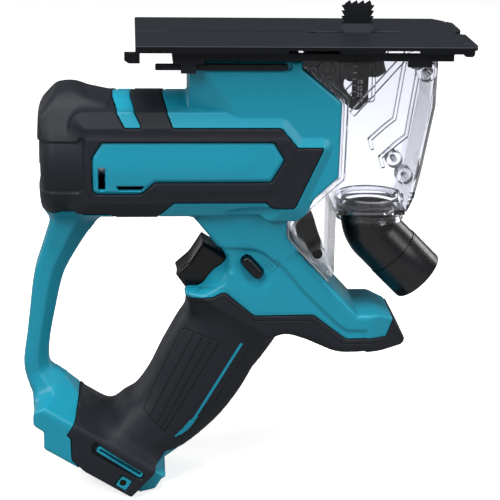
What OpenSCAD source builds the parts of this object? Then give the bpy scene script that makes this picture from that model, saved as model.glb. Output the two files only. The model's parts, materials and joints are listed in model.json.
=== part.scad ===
// Drywall cut-out tool: a reciprocating saw for plasterboard with a base plate and a dust cover.
// The blade points along +Z, the motor lies along -X, and the base plate's outer face is at Z = 0.

/* [Base plate] */
// Length of the base plate
plate_len = 156; // [148:1:166]
// Width of the base plate
plate_w = 76; // [72:1:90]
// Sheet thickness of the base plate
plate_t = 2; // [1.5:0.1:2.4]
// Distance from the blade to the front end of the plate
plate_front = 51; // [47:1:57]
// Length of the blade slot
slot_len = 46; // [30:1:50]
// Width of the blade slot
slot_w = 4.2; // [3:0.2:6]
// Depth of the bent edges below the plate
skirt_h = 1.4; // [0.8:0.1:1.8]
// Thickness of the bracket's side bars
bar_t = 3; // [2:0.2:4]
// Diameter of the two guide posts
post_d = 6; // [5:0.5:7]

/* [Housing] */
// Diameter of the motor barrel over its rubber
barrel_d = 61; // [58:0.5:66]
// Drop of the motor axis below the base plate's outer face
barrel_drop = 59.3; // [57:0.5:62]
// Distance from the blade to the barrel's rear end
barrel_back = 151; // [148:1:160]
// Width of the gear case
case_w = 54; // [50:1:58]
// Drop of the gear case's top below the base plate's outer face
case_drop = 7; // [6.5:0.5:8]
// Width of the grip at its middle
grip_w = 37; // [33:1:42]
// Width of the horn and the body above the grip
horn_w = 42; // [42:1:48]
// Width of the rear handle bar
handle_w = 20; // [16:1:26]
// Width of the battery foot
foot_w = 58; // [54:1:62]
// Thickness of the rubber overmould
rubber_t = 1.6; // [1:0.1:2.4]

/* [Drive] */
// Diameter of the motor can
motor_d = 38; // [34:0.5:40]
// Length of the motor can
motor_len = 60; // [54:1:64]
// Diameter of the motor shaft
shaft_d = 5; // [4:0.5:5.5]
// Diameter of the cooling fan
fan_d = 43; // [36:1:46]
// Number of fan blades
fan_blades = 12; // [8:1:16]
// Module of the gear teeth
gear_module = 0.8; // [0.7:0.05:0.85]
// Teeth on the pinion
pinion_teeth = 9; // [8:1:10]
// Teeth on the crank gear
crank_teeth = 30; // [27:1:31]
// Stroke of the blade
stroke = 6; // [4:0.5:7]
// Diameter of the crank pin's roller
roller_d = 7; // [5:0.5:7.5]
// Diameter of the plunger rod
plunger_d = 6; // [5:0.5:6.5]

/* [Blade] */
// Width of the blade across its teeth
blade_w = 15.6; // [12:0.2:18]
// Blade length above the base plate
blade_out = 15; // [10:1:25]
// Blade thickness
blade_t = 1.2; // [0.8:0.1:1.6]

/* [Dust cover] */
// Width of the clear dust cover
cover_w = 42; // [38:1:46]
// Wall thickness of the dust cover
cover_wall = 2; // [1.5:0.1:2.5]
// Outer diameter of the nozzle's cuff
nozzle_d = 28.4; // [26:0.2:30]
// Wall thickness of the nozzle
nozzle_wall = 2; // [1.5:0.1:3]
// Length of the nozzle's straight run
nozzle_len = 30; // [24:1:36]
// Diameter of the latch pin
latch_pin_d = 5; // [4:0.5:6]

/* [Controls] */
// Width of the trigger
trigger_w = 19; // [15:1:21]
// Travel of the trigger
trigger_travel = 6; // [4:0.5:7]
// Length of the lock-off button's face
button_len = 13.5; // [10:0.5:15]
// Width of the lock-off button's face
button_w = 5.6; // [4:0.2:6.4]
// Thickness of the depth lock bar
lock_t = 2.8; // [2.2:0.1:3]

/* [Clearances] */
// Running fit, on the radius
run_gap = 0.05; // [0.03:0.01:0.1]
// Sliding clearance between moving pieces
slide_gap = 0.3; // [0.2:0.05:0.5]
// Seat clearance between fixed pieces
seat_gap = 0.1; // [0.05:0.01:0.2]

/* [Hidden] */
$fn = 48;

// Colours
teal = [0.13, 0.57, 0.67];
rubber = [0.18, 0.18, 0.21];
black = [0.1, 0.1, 0.11];
steel = [0.7, 0.71, 0.73];
clear = [0.85, 0.88, 0.9, 0.35];

// Main places
far = 200;
inside = 10;
barrel_r = barrel_d / 2;
axis_z = -barrel_drop;
case_y = case_w / 2;
case_top = -case_drop;
horn_y = horn_w / 2;
foot_y = foot_w / 2;
grip_y = grip_w / 2;
handle_y = handle_w / 2;

// Motor, from the rear end forwards
bell_len = 14;
rear_wall = 8;
motor_x = rear_wall + bell_len - barrel_back;
motor_front = motor_x + motor_len;
motor_r = motor_d / 2;
can_t = 2;
shaft_r = shaft_d / 2;
bearing_r = 8;
bearing_w = 6;
fan_x = motor_front + 3;
fan_w = 8;
plate_x = -52;
gear_plate_t = 8;

// Gear train
pinion_r = gear_module * pinion_teeth / 2;
crank_r = gear_module * crank_teeth / 2;
tenon_r = pinion_r - gear_module * 1.2 - 1;
crank_z = axis_z + pinion_r + crank_r;
gear_x = -36;
gear_w = 8;
throw = stroke / 2;
roller_r = roller_d / 2;
plunger_x = -20;
yoke_w = 7;
yoke_x = plunger_x - yoke_w / 2;
slot_y = throw + roller_r + slide_gap;
slot_z = 2 * throw + roller_r + slide_gap;
yoke_y = slot_y + 2.4;
yoke_z = slot_z + 2;
gear_roof = crank_z + yoke_z + throw + slide_gap;
upper_bush_len = 4;
lower_bush_top = -62.5;
lower_bush_len = 6.5;
rod_r = plunger_d / 2;
bush_r = rod_r + 1.5;

// Base, lock bar and guide posts
post_x = -66;
post_y = 16;
post_end = -27;
bar_in = case_y + 1;
bar_out = bar_in + bar_t;
bar_low = -8;
bridge_t = 1.5;
lock_top = -10.2;
lock_in = case_y - 1;
lock_out = lock_in + lock_t;
lock_end = -35;

// Dust outlet
outlet_x = 9.5;
collar_top = -80;
collar_low = -91;
nozzle_r = nozzle_d / 2;
spigot_r = nozzle_r - 0.6;
collar_r = spigot_r + run_gap + 2.75;
bend_r = nozzle_r + 2;
bend_top = collar_low + 1;
cover_y = cover_w / 2;
latch_x = -18;
latch_z = -103.7;
latch_hub = 3.8;
latch_y = 9;

// Trigger frame: pull runs along the trigger's travel
pull_tilt = -34;
trigger_y = trigger_w / 2;
trigger_at = [-72.8, -101];
button_at = [-49.2, -110.7];
button_tilt = -48;
button_y = horn_y + 2;

// Foot frame: the battery slides along the sloping underside
foot_tilt = -32.3;
foot_at = [-150.5, -202];
foot_len = 50;
hook_u = foot_len - 8;
hook_v = 5;
insert_r = 3.2;
insert_len = 8;
tap_r = 1.65;

// Unit vector of v
function unit(v) = v / norm(v);

// Arc of n steps that rounds the corner q of an outline, between its neighbours p and s
function corner(p, q, s, n) =
    len(q) < 3 ? [[q[0], q[1]]] :
    let (at = [q[0], q[1]],
         a = unit([p[0], p[1]] - at),
         b = unit([s[0], s[1]] - at),
         half = acos(max(-1, min(1, a * b))) / 2,
         mid = at + unit(a + b) * q[2] / sin(half),
         from = at + a * q[2] / tan(half) - mid,
         to = at + b * q[2] / tan(half) - mid,
         t0 = atan2(from[1], from[0]),
         turn = atan2(to[1], to[0]) - t0,
         sweep = turn > 180 ? turn - 360 : turn < -180 ? turn + 360 : turn)
    [for (i = [0:n]) mid + q[2] * [cos(t0 + sweep * i / n), sin(t0 + sweep * i / n)]];

// Closed outline from corners [x, z] or [x, z, radius]
function outline(c, n = 4) =
    let (k = len(c)) [for (i = [0:k - 1]) each corner(c[(i + k - 1) % k], c[i], c[(i + 1) % k], n)];

// Outline with every edge moved out by d, for points that run clockwise
function grow(p, d) =
    let (k = len(p))
    [for (i = [0:k - 1])
        let (a = unit(p[i] - p[(i + k - 1) % k]),
             b = unit(p[(i + 1) % k] - p[i]),
             na = [-a[1], a[0]],
             nb = [-b[1], b[0]],
             m = unit(na + nb))
        p[i] + m * d / max(0.5, m * na)];

// Point at [u, v] in a frame turned by tilt about the point at
function turned(at, tilt, u, v) =
    [at[0] + u * cos(tilt) - v * sin(tilt), at[1] + u * sin(tilt) + v * cos(tilt)];

// Point at [u, v] in the foot's frame
function foot_point(u, v) = turned(foot_at, foot_tilt, u, v);

// Solid of an (x, z) outline between two Y planes
module slab(y0, y1) {
    translate([0, y1, 0]) rotate([90, 0, 0]) linear_extrude(y1 - y0) children();
}

// Solid of a (y, z) outline between two X planes
module beam(x0, x1) {
    translate([x0, 0, 0]) rotate([90, 0, 90]) linear_extrude(x1 - x0) children();
}

// Round bar along X on the axis at height z
module rod_x(x0, x1, r, z = axis_z) {
    translate([x0, 0, z]) rotate([0, 90, 0]) cylinder(h = x1 - x0, r = r);
}

// Round bar along Y at [x, z]
module rod_y(at, y0, y1, r) {
    translate([at[0], y0, at[1]]) rotate([-90, 0, 0]) cylinder(h = y1 - y0, r = r);
}

// Round bar along Z at [x, y]
module rod_z(x, y, z0, z1, r) {
    translate([x, y, z0]) cylinder(h = z1 - z0, r = r);
}

// Half of a swept limb on the +Y side, from sections [x, z, tilt, half depth, half width]
module limb(sections, d = 0) {
    n = 12;
    k = n + 1;
    last = len(sections) - 1;
    square = 0.8;
    points = [for (s = sections) for (i = [0:n])
        let (t = 180 * i / n - 90,
             a = (s[3] + d) * sign(sin(t)) * pow(abs(sin(t)), square),
             y = i == 0 || i == n ? 0 : (s[4] + d) * pow(cos(t), square))
        [s[0] + a * cos(s[2]), y, s[1] + a * sin(s[2])]];
    skin = [for (r = [0:last - 1]) for (i = [0:n - 1]) each [
        [r * k + i, (r + 1) * k + i, (r + 1) * k + i + 1],
        [r * k + i, (r + 1) * k + i + 1, r * k + i + 1]]];
    flat = [for (r = [0:last - 1]) each [
        [r * k, r * k + n, (r + 1) * k + n],
        [r * k, (r + 1) * k + n, (r + 1) * k]]];
    ends = [[for (i = [0:n]) i], [for (i = [0:n]) last * k + n - i]];
    polyhedron(points, concat(skin, flat, ends));
}

// Side outlines, all clockwise

case_outline = outline([
    [-80, -40], [-80, case_top, 4], [-28.4, case_top, 1.5], [-28.4, -13], [-9.4, -28.7], [-9.8, -64.6],
    [-33.6, -87, 5], [-33.4, -95.5, 5], [-28, -102], [-50, -112], [-62, -106.2], [-71, -94.1],
    [-77, -86.6, 6], [-80, -85]
]);

lower_outline = outline([
    [-60, -70], [-34, -80], [-34.5, -96], [3.3, -136], [13, -136, 5], [21.6, -139.4, 4], [28.2, -151.6, 2],
    [26.4, -153.8, 2], [8, -156.4, 60], [-7, -156, 25], [-22, -149, 14], [-33.5, -145, 12], [-41.8, -150.4, 6],
    [-47, -160], [-60, -160],
    [-79, -138, 6], [-81.4, -123, 2], [-71.5, -123.4, 8], [-61.2, -117, 8], [-62, -106.2, 2], [-71, -94.1],
    [-77, -86.6]
]);

foot_outline = outline([
    [-155.4, -182, 4], [-140.5, -175.5], [-118.4, -188.7, 6], foot_point(foot_len, 26.8),
    concat(foot_point(foot_len + 3, 17), 8), foot_point(foot_len, 0), foot_at,
    [-150.4, -192.5, 2], [-155.4, -189, 3]
]);

hump_outline = outline([
    [-barrel_back + 1, -36, 4], [-142, -25.5, 6], [-135, -23.4, 8], [-127.5, -28, 8],
    [-118, axis_z + barrel_r - 2], [-118, axis_z], [-barrel_back + 1, axis_z]
]);

panel_outline = outline([
    [-125.2, -53.5, 2], [-120.7, -46.6, 2], [-40.8, -46.6, 2], [-35.6, -55.2, 2], [-41.9, -65.8, 2],
    [-96.2, -65.8, 2], [-102.5, -71.6, 3], [-125.2, -71.6, 3]
]);

pad_outline = outline([
    [-130, -40.2], [-37.4, -40.2, 1.5], [-29.7, -49.5], [-17.2, -49.5], [-30.4, -79, 2], [-40.5, -79, 2],
    [-44, -76], [-130, -76]
]);

sleeve_outline = [
    [-170, -10], [-94.5, -10], [-92.4, -29.2], [-87.6, -40.5], [-87.6, -76.2], [-93.9, -82.4], [-94.5, -100],
    [-114.6, -100], [-115, -85.1], [-117.2, -82.3], [-140.2, -82.3], [-144.4, -84.1], [-170, -84.1]
];

band_outline = outline([
    [-116.1, -10], [-108.2, -10], [-107.4, -30], [-102, -40.3, 1], [-109.7, -40.6, 1], [-115.9, -30]
]);

grip_region = outline([
    [-81, -126.8], [-68, -126], [-62.5, -123], [-48, -135.5, 3], [-19, -135.5, 4], [-2.5, -148.3, 5],
    [18, -148.2], [23, -136], [60, -136], [60, -260], [-98, -260], [-133, -212], [-137, -207.5],
    [-137.2, -196.2],
    [-139.2, -194.5], [-134.8, -187.6], [-131.6, -170], [-84, -126.8]
]);

grip_sections = [
    [-56, -139.5, -22, 24, grip_y + 0.5], [-61.5, -149.5, -22, 23, grip_y], [-66, -156, -23, 22.6, grip_y],
    [-72.4, -168, -28, 22.6, grip_y], [-79.2, -179.5, -32, 21.4, grip_y], [-87.3, -189.5, -36, 19.8, grip_y],
    [-95, -196.5, -39, 18.6, grip_y + 1], [-103, -201.7, -45, 18.2, grip_y + 4],
    [-112, -206, -55, 15, foot_y - 2]
];

handle_sections = [
    [-131, -80, 0, 17, handle_y + 3], [-135, -90, 0, 12.5, handle_y + 1], [-137.8, -96, -8, 9.6, handle_y],
    [-144.5, -110.6, -20, 7.4, handle_y], [-148, -120.5, -16, 6.9, handle_y],
    [-151, -137.5, -9, 6.1, handle_y], [-153, -150, -5, 5.7, handle_y], [-154.5, -162.5, 0, 6, handle_y],
    [-153, -170.5, 14, 6.6, handle_y],
    [-147.5, -178.5, 28, 9.4, handle_y + 4], [-141, -188, 32, 13, foot_y - 4]
];

// Outer forms of the +Y half, each moved out by d

// Motor barrel with a domed rear end
module barrel_form(d) {
    r = barrel_r + d;
    back = -barrel_back - d;
    edge = 9;
    dome = 2;
    rim = r - edge;
    half_plane()
    translate([0, 0, axis_z]) rotate([0, 90, 0]) rotate_extrude() union() {
        polygon([[0, back], [rim, back + dome], [rim, -46], [0, -46]]);
        translate([0, back + edge + dome]) square([r, -46 - back - edge - dome]);
        translate([rim, back + edge + dome]) circle(r = edge);
    }
}

// Space with Y above zero
module half_plane() {
    intersection() {
        children();
        translate([-far, 0, -far * 1.5]) cube([2 * far, far, 2 * far]);
    }
}

// Raised bumper on top of the barrel's rear end
module hump_form(d) {
    hump_r = 24;
    hump_top = -23.4;
    intersection() {
        slab(0, far) polygon(grow(hump_outline, d));
        rod_x(-barrel_back - 5, -110, hump_r + d, hump_top - hump_r);
    }
}

// Gear case with chamfered shoulders
module case_form() {
    shoulder = 5;
    intersection() {
        slab(0, case_y) polygon(case_outline);
        beam(-90, 0) polygon([
            [0, case_top], [case_y - shoulder * 0.6, case_top], [case_y, case_top - 3], [case_y, -86],
            [horn_y, -104], [horn_y, -120], [0, -120]
        ]);
    }
}

// Body above the grip with the horn
module lower_form(d) {
    round_r = 3;
    intersection() {
        slab(0, horn_y + d) polygon(grow(lower_outline, d));
        beam(-90, 40) polygon(grow(outline([
            [-inside, -60], [horn_y, -60], [horn_y, -156.4, round_r], [-inside, -156.4]
        ]), d));
    }
}

// Battery foot with rounded upper shoulders
module foot_form(d) {
    intersection() {
        slab(0, foot_y + d) polygon(grow(foot_outline, d));
        translate([foot_at[0], 0, foot_at[1]]) rotate([0, -foot_tilt, 0])
            beam(-60, 90) polygon(grow(outline([
                [-inside, 25], [6, 25, 6], [foot_y, 19, 4], [foot_y, 0, 2], [-inside, 0]
            ]), d));
    }
}

// Battery rail hook at the front of the foot
module rail_hook() {
    slab(0, foot_y - 8) polygon(outline([
        foot_point(foot_len - 8, 1), foot_point(foot_len - 4, 16), foot_point(foot_len + 11, 16),
        concat(foot_point(foot_len + 9.6, 14), 4), concat(foot_point(foot_len + 9.8, 7.5), 2),
        foot_point(foot_len + 4.4, 2)
    ]));
}

// Rubber side pad and its arrow nose
module pad_form() {
    edge = 1.2;
    intersection() {
        slab(case_y - 4, barrel_r - 0.2) polygon(pad_outline);
        beam(-140, 0) polygon([
            [0, -90], [0, -30], [case_y, -38], [barrel_r - 0.2 - edge, -40.4], [barrel_r - 0.2, -42],
            [barrel_r - 0.2, -77], [barrel_r - 0.2 - edge, -79.4], [case_y, -82]
        ]);
    }
}

// Teal panel inside the side pad
module panel_form() {
    slab(0, barrel_r - 1.1) polygon(panel_outline);
}

// Places of the housing screws, [x, z, half width of the housing there]
screws = [
    [-74, -13, case_y], [-74, -84, case_y - 3], [-40, -96, horn_y], [-12, -143, horn_y],
    [-142, -93.5, handle_y], [-64, -140, grip_y], [-92, -193, grip_y], [-141, -190, foot_y]
];
screw_r = 1.5;
screw_head_r = 3;

// Trigger travel swept outline, grown by d
module trigger_outline(extra, d) {
    polygon(grow(outline([
        turned(trigger_at, pull_tilt, 0, 0), turned(trigger_at, pull_tilt, trigger_len + extra, 0),
        turned(trigger_at, pull_tilt, trigger_len + extra, -25.4), [-79.6, -127.2, 2], [-86.4, -117.6, 1.4],
        [-79, -111, 14]
    ]), d));
}

// Stadium of the lock-off button
module button_outline(d) {
    r = button_w / 2 + d;
    reach = (button_len - button_w) / 2;
    translate(button_at) rotate(button_tilt) union() {
        translate([-reach, -r]) square([2 * reach, 2 * r]);
        for (s = [-1, 1]) translate([s * reach, 0]) circle(r = r);
    }
}

// Box in the trigger's frame, from [u, v] to [u, v]
module switch_box(u0, v0, u1, v1, y) {
    slab(-y, y) polygon([
        turned(trigger_at, pull_tilt, u0, v0), turned(trigger_at, pull_tilt, u0, v1),
        turned(trigger_at, pull_tilt, u1, v1), turned(trigger_at, pull_tilt, u1, v0)
    ]);
}

// Box in the foot's frame
module foot_box(u0, v0, u1, v1, y) {
    slab(-y, y) polygon([
        foot_point(u0, v0), foot_point(u0, v1), foot_point(u1, v1), foot_point(u1, v0)
    ]);
}

trigger_len = 19;
switch_u = trigger_len + trigger_travel + 1;
switch_len = 18;
rail_y = foot_y - 9;
rail_lip = 3;
rail_v = 4;
bay_v = 11;
bay_u0 = 8;
bay_u1 = foot_len + 20;
block_u0 = 12;
block_u1 = 34;

// Everything inside the housing that is hollow
module hollows() {
    rod_x(motor_x - bell_len - 2, motor_x, motor_r - 1 + seat_gap);
    rod_x(motor_x - seat_gap, motor_front + 0.5, motor_r + seat_gap);
    rod_x(motor_front, plate_x, fan_d / 2 + 1);
    beam(plate_x - seat_gap, plate_x + gear_plate_t + seat_gap) gear_plate_outline(seat_gap);
    slab(-15, 15) polygon([
        [plate_x + 4, axis_z - 6], [plate_x + 4, gear_roof], [-16, gear_roof], [-13, -33], [-13, axis_z - 2],
        [-22, axis_z - 6]
    ]);
    rod_z(plunger_x, 0, axis_z - 10, -10, rod_r + slide_gap);
    rod_z(plunger_x, 0, lower_bush_top - lower_bush_len, lower_bush_top, bush_r + seat_gap);
    rod_z(plunger_x, 0, gear_roof - 1, gear_roof + upper_bush_len, bush_r + seat_gap);
    for (s = [-1, 1]) rod_z(post_x, s * post_y, post_end - 2.5, 0, post_d / 2 + run_gap);
    slab(-trigger_y - slide_gap, trigger_y + slide_gap) trigger_outline(trigger_travel + 1, slide_gap);
    switch_box(switch_u - 1, -22, switch_u + switch_len, -3, 8 + seat_gap);
    slab(-far, far) button_outline(slide_gap);
    for (s = [0, 1]) mirror([0, s, 0]) slab(lock_in - slide_gap, case_y + 5) polygon(outline([
        [-90, lock_top + slide_gap], [lock_end + 2.2, lock_top + slide_gap, 1.6],
        [lock_end + 2.2, lock_top - lock_t - slide_gap, 1.6], [-90, lock_top - lock_t - slide_gap]
    ]));
    foot_box(bay_u0, rail_v, bay_u1, bay_v, rail_y + rail_lip);
    foot_box(bay_u0, -5, bay_u1, rail_v + 1, rail_y);
    foot_box(block_u0, bay_v - 1, block_u1, bay_v + 3, 14 + seat_gap);
    for (s = [-1, 1]) rod_y(foot_point(hook_u, hook_v), s > 0 ? foot_y - insert_len : -far,
        s > 0 ? far : -foot_y + insert_len, insert_r);
    slab(-far, far) polygon([[-122.4, -58.4], [-119.2, -58.4], [-119.2, -69.5], [-122.4, -69.5]]);
    for (s = [-1, 1]) slab(s > 0 ? 12 : -far, s > 0 ? far : -12)
        polygon([[-114.5, -67.4], [-100.6, -67.4], [-102.6, -69.7], [-112.8, -69.7]]);
}

// Slot for a belt hook in the foot's side
module hook_slot() {
    slab(foot_y - 3.5, far) polygon([
        foot_point(foot_len - 29, 14), foot_point(foot_len - 29, 17), foot_point(foot_len - 2, 17),
        foot_point(foot_len - 2, 14)
    ]);
}

// Screw bores: clearance with a head pocket in the far half, pilot holes in the near half
module screw_bores() {
    for (s = screws) {
        rod_y([s[0], s[1]], -s[2] + 4, far, screw_r);
        rod_y([s[0], s[1]], s[2] - 3.5, far, screw_head_r + slide_gap);
    }
}

// Hard shell of the +Y half before its hollows
module shell_form() {
    barrel_form(-rubber_t);
    intersection() {
        barrel_form(0);
        union() {
            slab(-1, far) polygon(band_outline);
            difference() {
                slab(-1, far) polygon([[-160, 0], [0, 0], [0, -100], [-160, -100]]);
                slab(-2, far + 1) polygon(sleeve_outline);
            }
        }
    }
    case_form();
    panel_form();
    lower_form(-rubber_t);
    difference() {
        lower_form(0);
        slab(-1, far) polygon(grip_region);
    }
    limb(grip_sections, -rubber_t);
    limb(handle_sections);
    foot_form(-rubber_t);
    difference() {
        foot_form(0);
        slab(-1, far) polygon(grip_region);
    }
    rail_hook();
}

module housing_right() {
    color(teal) difference() {
        shell_form();
        hollows();
        screw_bores();
        hook_slot();
    }
}

module housing_left() {
    color(teal) difference() {
        mirror([0, 1, 0]) shell_form();
        hollows();
        screw_bores();
        mirror([0, 1, 0]) hook_slot();
    }
}

// Rubber over the barrel's +Y half
module barrel_rubber_form() {
    difference() {
        union() {
            difference() {
                union() {
                    barrel_form(0);
                    hump_form(0);
                }
                slab(-1, far) polygon(band_outline);
                difference() {
                    slab(-2, far) polygon([[-170, 0], [0, 0], [0, -110], [-170, -110]]);
                    slab(-3, far + 1) polygon(sleeve_outline);
                }
            }
            difference() {
                pad_form();
                slab(-1, far) polygon([[-170, 0], [-100, 0], [-100, -100], [-170, -100]]);
            }
        }
        barrel_form(-rubber_t);
        difference() {
            barrel_form(0);
            slab(-3, far + 1) polygon(sleeve_outline);
        }
        case_form();
        slab(-1, far) polygon(panel_outline);
        limb(handle_sections);
    }
}

module barrel_rubber_right() { color(rubber) barrel_rubber_form(); }

module barrel_rubber_left() { color(rubber) mirror([0, 1, 0]) barrel_rubber_form(); }

// Rubber over the grip, the horn and the foot, +Y half
module grip_rubber_form() {
    difference() {
        intersection() {
            union() {
                lower_form(0);
                limb(grip_sections);
                foot_form(0);
            }
            slab(-1, far) polygon(grip_region);
        }
        lower_form(-rubber_t);
        limb(grip_sections, -rubber_t);
        foot_form(-rubber_t);
        limb(handle_sections);
        rail_hook();
        hollows();
        hook_slot();
    }
}

module grip_rubber_right() {
    color(rubber) difference() {
        grip_rubber_form();
        screw_bores();
    }
}

module grip_rubber_left() { color(rubber) mirror([0, 1, 0]) grip_rubber_form(); }

module housing_screws() {
    color(steel) for (s = screws) {
        rod_y([s[0], s[1]], -s[2] + 4, s[2] - 3.5, screw_r);
        rod_y([s[0], s[1]], s[2] - 3.5, s[2] - 1.5, screw_head_r);
    }
}

// Outline of the bearing plate between motor and gears
module gear_plate_outline(d) {
    polygon(grow(outline([
        [-17, axis_z - 6, 4], [-17, crank_z + 8, 5], [17, crank_z + 8, 5], [17, axis_z - 6, 4],
        [9, axis_z - 12, 5], [-9, axis_z - 12, 5]
    ]), d));
}

module gear_plate() {
    color(steel) difference() {
        beam(plate_x, plate_x + gear_plate_t) gear_plate_outline(0);
        rod_x(plate_x - 1, plate_x + gear_plate_t - 2, bearing_r);
        rod_x(plate_x - 1, plate_x + gear_plate_t + 1, shaft_r + 1);
        rod_x(plate_x + 2, plate_x + gear_plate_t + 1, bearing_r - 1.5, crank_z);
    }
}

module motor_can() {
    color(steel) difference() {
        rod_x(motor_x, motor_front, motor_r);
        rod_x(motor_x - 1, motor_front - 2, motor_r - can_t);
        rod_x(motor_front - 3, motor_front + 1, bearing_r);
    }
}

magnet_t = 4;
armature_r = motor_r - can_t - magnet_t - 0.6;
core_x = motor_x + 14;
core_len = motor_len - 26;

module motor_magnets() {
    color([0.25, 0.25, 0.27]) difference() {
        rod_x(core_x - 2, core_x + core_len + 2, motor_r - can_t);
        rod_x(core_x - 3, core_x + core_len + 3, motor_r - can_t - magnet_t);
        translate([core_x - 4, -motor_r, axis_z - 4]) cube([core_len + 8, motor_d, 8]);
    }
}

// Rear bell of the motor, which carries the brushes and the rear bearing
module brush_holder() {
    color(black) difference() {
        rod_x(motor_x - bell_len, motor_x, motor_r - 1);
        rod_x(motor_x - bell_len + 7, motor_x + 1, motor_r - 4);
        rod_x(motor_x - bell_len + 1, motor_x, bearing_r - 2);
    }
    color(black) for (s = [-1, 1]) difference() {
        translate([motor_x - 6, s > 0 ? 9 : -motor_r + 3.8, axis_z - 3.5]) cube([7, motor_r - 12.8, 7]);
        translate([motor_x - 5, s > 0 ? 8 : -motor_r, axis_z - 2.5]) cube([5, motor_r - 8, 5]);
    }
}

commutator_r = 7;

module carbon_brushes() {
    side = 5;
    color([0.2, 0.2, 0.2]) for (s = [0, 1]) mirror([0, s, 0])
        translate([motor_x - side, commutator_r + slide_gap, axis_z - side / 2]) cube(side);
}

module bearing(x, z, w, r_in, r_out) {
    difference() {
        rod_x(x, x + w, r_out, z);
        rod_x(x - 1, x + w + 1, r_in, z);
        difference() {
            rod_x(x + w - 0.5, x + w + 1, r_out - 1.2, z);
            rod_x(x + w - 1, x + w + 1, r_in + 1.2, z);
        }
    }
}

module front_bearing() {
    color(steel) bearing(plate_x, axis_z, bearing_w, shaft_r + run_gap, bearing_r);
}

module rear_bearing() {
    color(steel) bearing(motor_x - bell_len + 1, axis_z, 5, shaft_r + run_gap, bearing_r - 2);
}

module crank_bearing() {
    color(steel) bearing(plate_x + 2, crank_z, gear_plate_t - 2, shaft_r + run_gap, bearing_r - 1.5);
}

module motor_shaft() {
    color(steel) {
        rod_x(motor_x - bell_len + 1.5, gear_x - 1, shaft_r);
        rod_x(gear_x - 1, gear_x + gear_w + 1, tenon_r);
    }
}

slots = 5;

// Laminated core with open slots
module armature_core() {
    color([0.45, 0.45, 0.47]) difference() {
        rod_x(core_x, core_x + core_len, armature_r);
        rod_x(core_x - 1, core_x + core_len + 1, shaft_r);
        for (i = [0:slots - 1])
            translate([core_x - 1, 0, axis_z]) rotate([i * 360 / slots, 0, 0])
                translate([0, -1, armature_r - 3]) cube([core_len + 2, 2, 6]);
    }
}

module armature_winding() {
    color([0.72, 0.4, 0.2]) for (x = [core_x - 4, core_x + core_len]) difference() {
        rod_x(x, x + 4, armature_r - 1.5);
        rod_x(x - 1, x + 5, shaft_r);
    }
}

module commutator() {
    color([0.75, 0.48, 0.3]) difference() {
        rod_x(motor_x - 6, core_x - 4, commutator_r);
        rod_x(motor_x - 7, core_x, shaft_r);
    }
}

// Fan with straight blades on a back disc
module cooling_fan() {
    hub_r = 6;
    disc_t = 1.5;
    color(black) difference() {
        union() {
            rod_x(fan_x, fan_x + disc_t, fan_d / 2);
            rod_x(fan_x, fan_x + fan_w, hub_r);
            for (i = [0:fan_blades - 1])
                translate([fan_x, 0, axis_z]) rotate([i * 360 / fan_blades, 0, 0])
                    translate([0, -0.6, hub_r - 1]) cube([fan_w, 1.2, fan_d / 2 - hub_r + 0.4]);
        }
        rod_x(fan_x - 1, fan_x + fan_w + 1, shaft_r);
    }
}

// Spur gear profile with straight-flanked teeth, in the (y, z) plane
module gear_profile(teeth, turn) {
    pitch = gear_module * teeth / 2;
    tip = pitch + gear_module * 0.95;
    root = pitch - gear_module * 1.2;
    step = 360 / teeth;
    polygon([for (i = [0:teeth - 1]) for (p = [[root, -0.33], [pitch, -0.23], [tip, -0.1], [tip, 0.1],
        [pitch, 0.23], [root, 0.33]]) p[0] * [cos(turn + (i + p[1]) * step), sin(turn + (i + p[1]) * step)]]);
}

module pinion() {
    color(steel) difference() {
        translate([0, 0, axis_z]) beam(gear_x - 1, gear_x + gear_w + 1) gear_profile(pinion_teeth, 90);
        rod_x(gear_x - 2, gear_x + gear_w + 2, tenon_r);
    }
}

pin_r = 2.2;

// Crank gear with its stub shaft and crank pin
module crank_gear() {
    color(steel) {
        translate([0, 0, crank_z]) beam(gear_x, gear_x + gear_w)
            gear_profile(crank_teeth, -90 + 180 / crank_teeth);
        rod_x(plate_x + 2.5, gear_x, shaft_r, crank_z);
        translate([0, throw, 0]) rod_x(gear_x + gear_w, yoke_x + yoke_w - 0.5, pin_r, crank_z);
    }
}

module crank_roller() {
    color([0.6, 0.6, 0.62]) translate([0, throw, 0]) difference() {
        rod_x(yoke_x + 0.3, yoke_x + yoke_w - 0.5, roller_r, crank_z);
        rod_x(yoke_x, yoke_x + yoke_w, pin_r + run_gap, crank_z);
    }
}

module bush(z0, z1) {
    difference() {
        rod_z(plunger_x, 0, z0, z1, bush_r);
        rod_z(plunger_x, 0, z0 - 1, z1 + 1, rod_r + run_gap);
    }
}

module upper_bush() { color([0.75, 0.6, 0.3]) bush(gear_roof, gear_roof + upper_bush_len); }

module lower_bush() {
    color([0.75, 0.6, 0.3]) bush(lower_bush_top - lower_bush_len, lower_bush_top);
}

// Plunger rod with its crosswise yoke
module plunger() {
    color(steel) difference() {
        union() {
            rod_z(plunger_x, 0, crank_z + slot_z, -8.6, rod_r);
            rod_z(plunger_x, 0, -66, crank_z - slot_z, rod_r);
            beam(yoke_x, yoke_x + yoke_w) polygon(outline([
                [-yoke_y, crank_z - yoke_z, 3], [-yoke_y, crank_z + yoke_z, 3], [yoke_y, crank_z + yoke_z, 3],
                [yoke_y, crank_z - yoke_z, 3]
            ]));
        }
        beam(yoke_x - 1, yoke_x + yoke_w + 1) polygon([
            [-slot_y, crank_z - slot_z], [-slot_y, crank_z + slot_z], [slot_y, crank_z + slot_z],
            [slot_y, crank_z - slot_z]
        ]);
    }
}

holder_y = blade_t / 2;
holder_t = 6;
clamp_z = -13;
clamp_r = 2;

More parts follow.
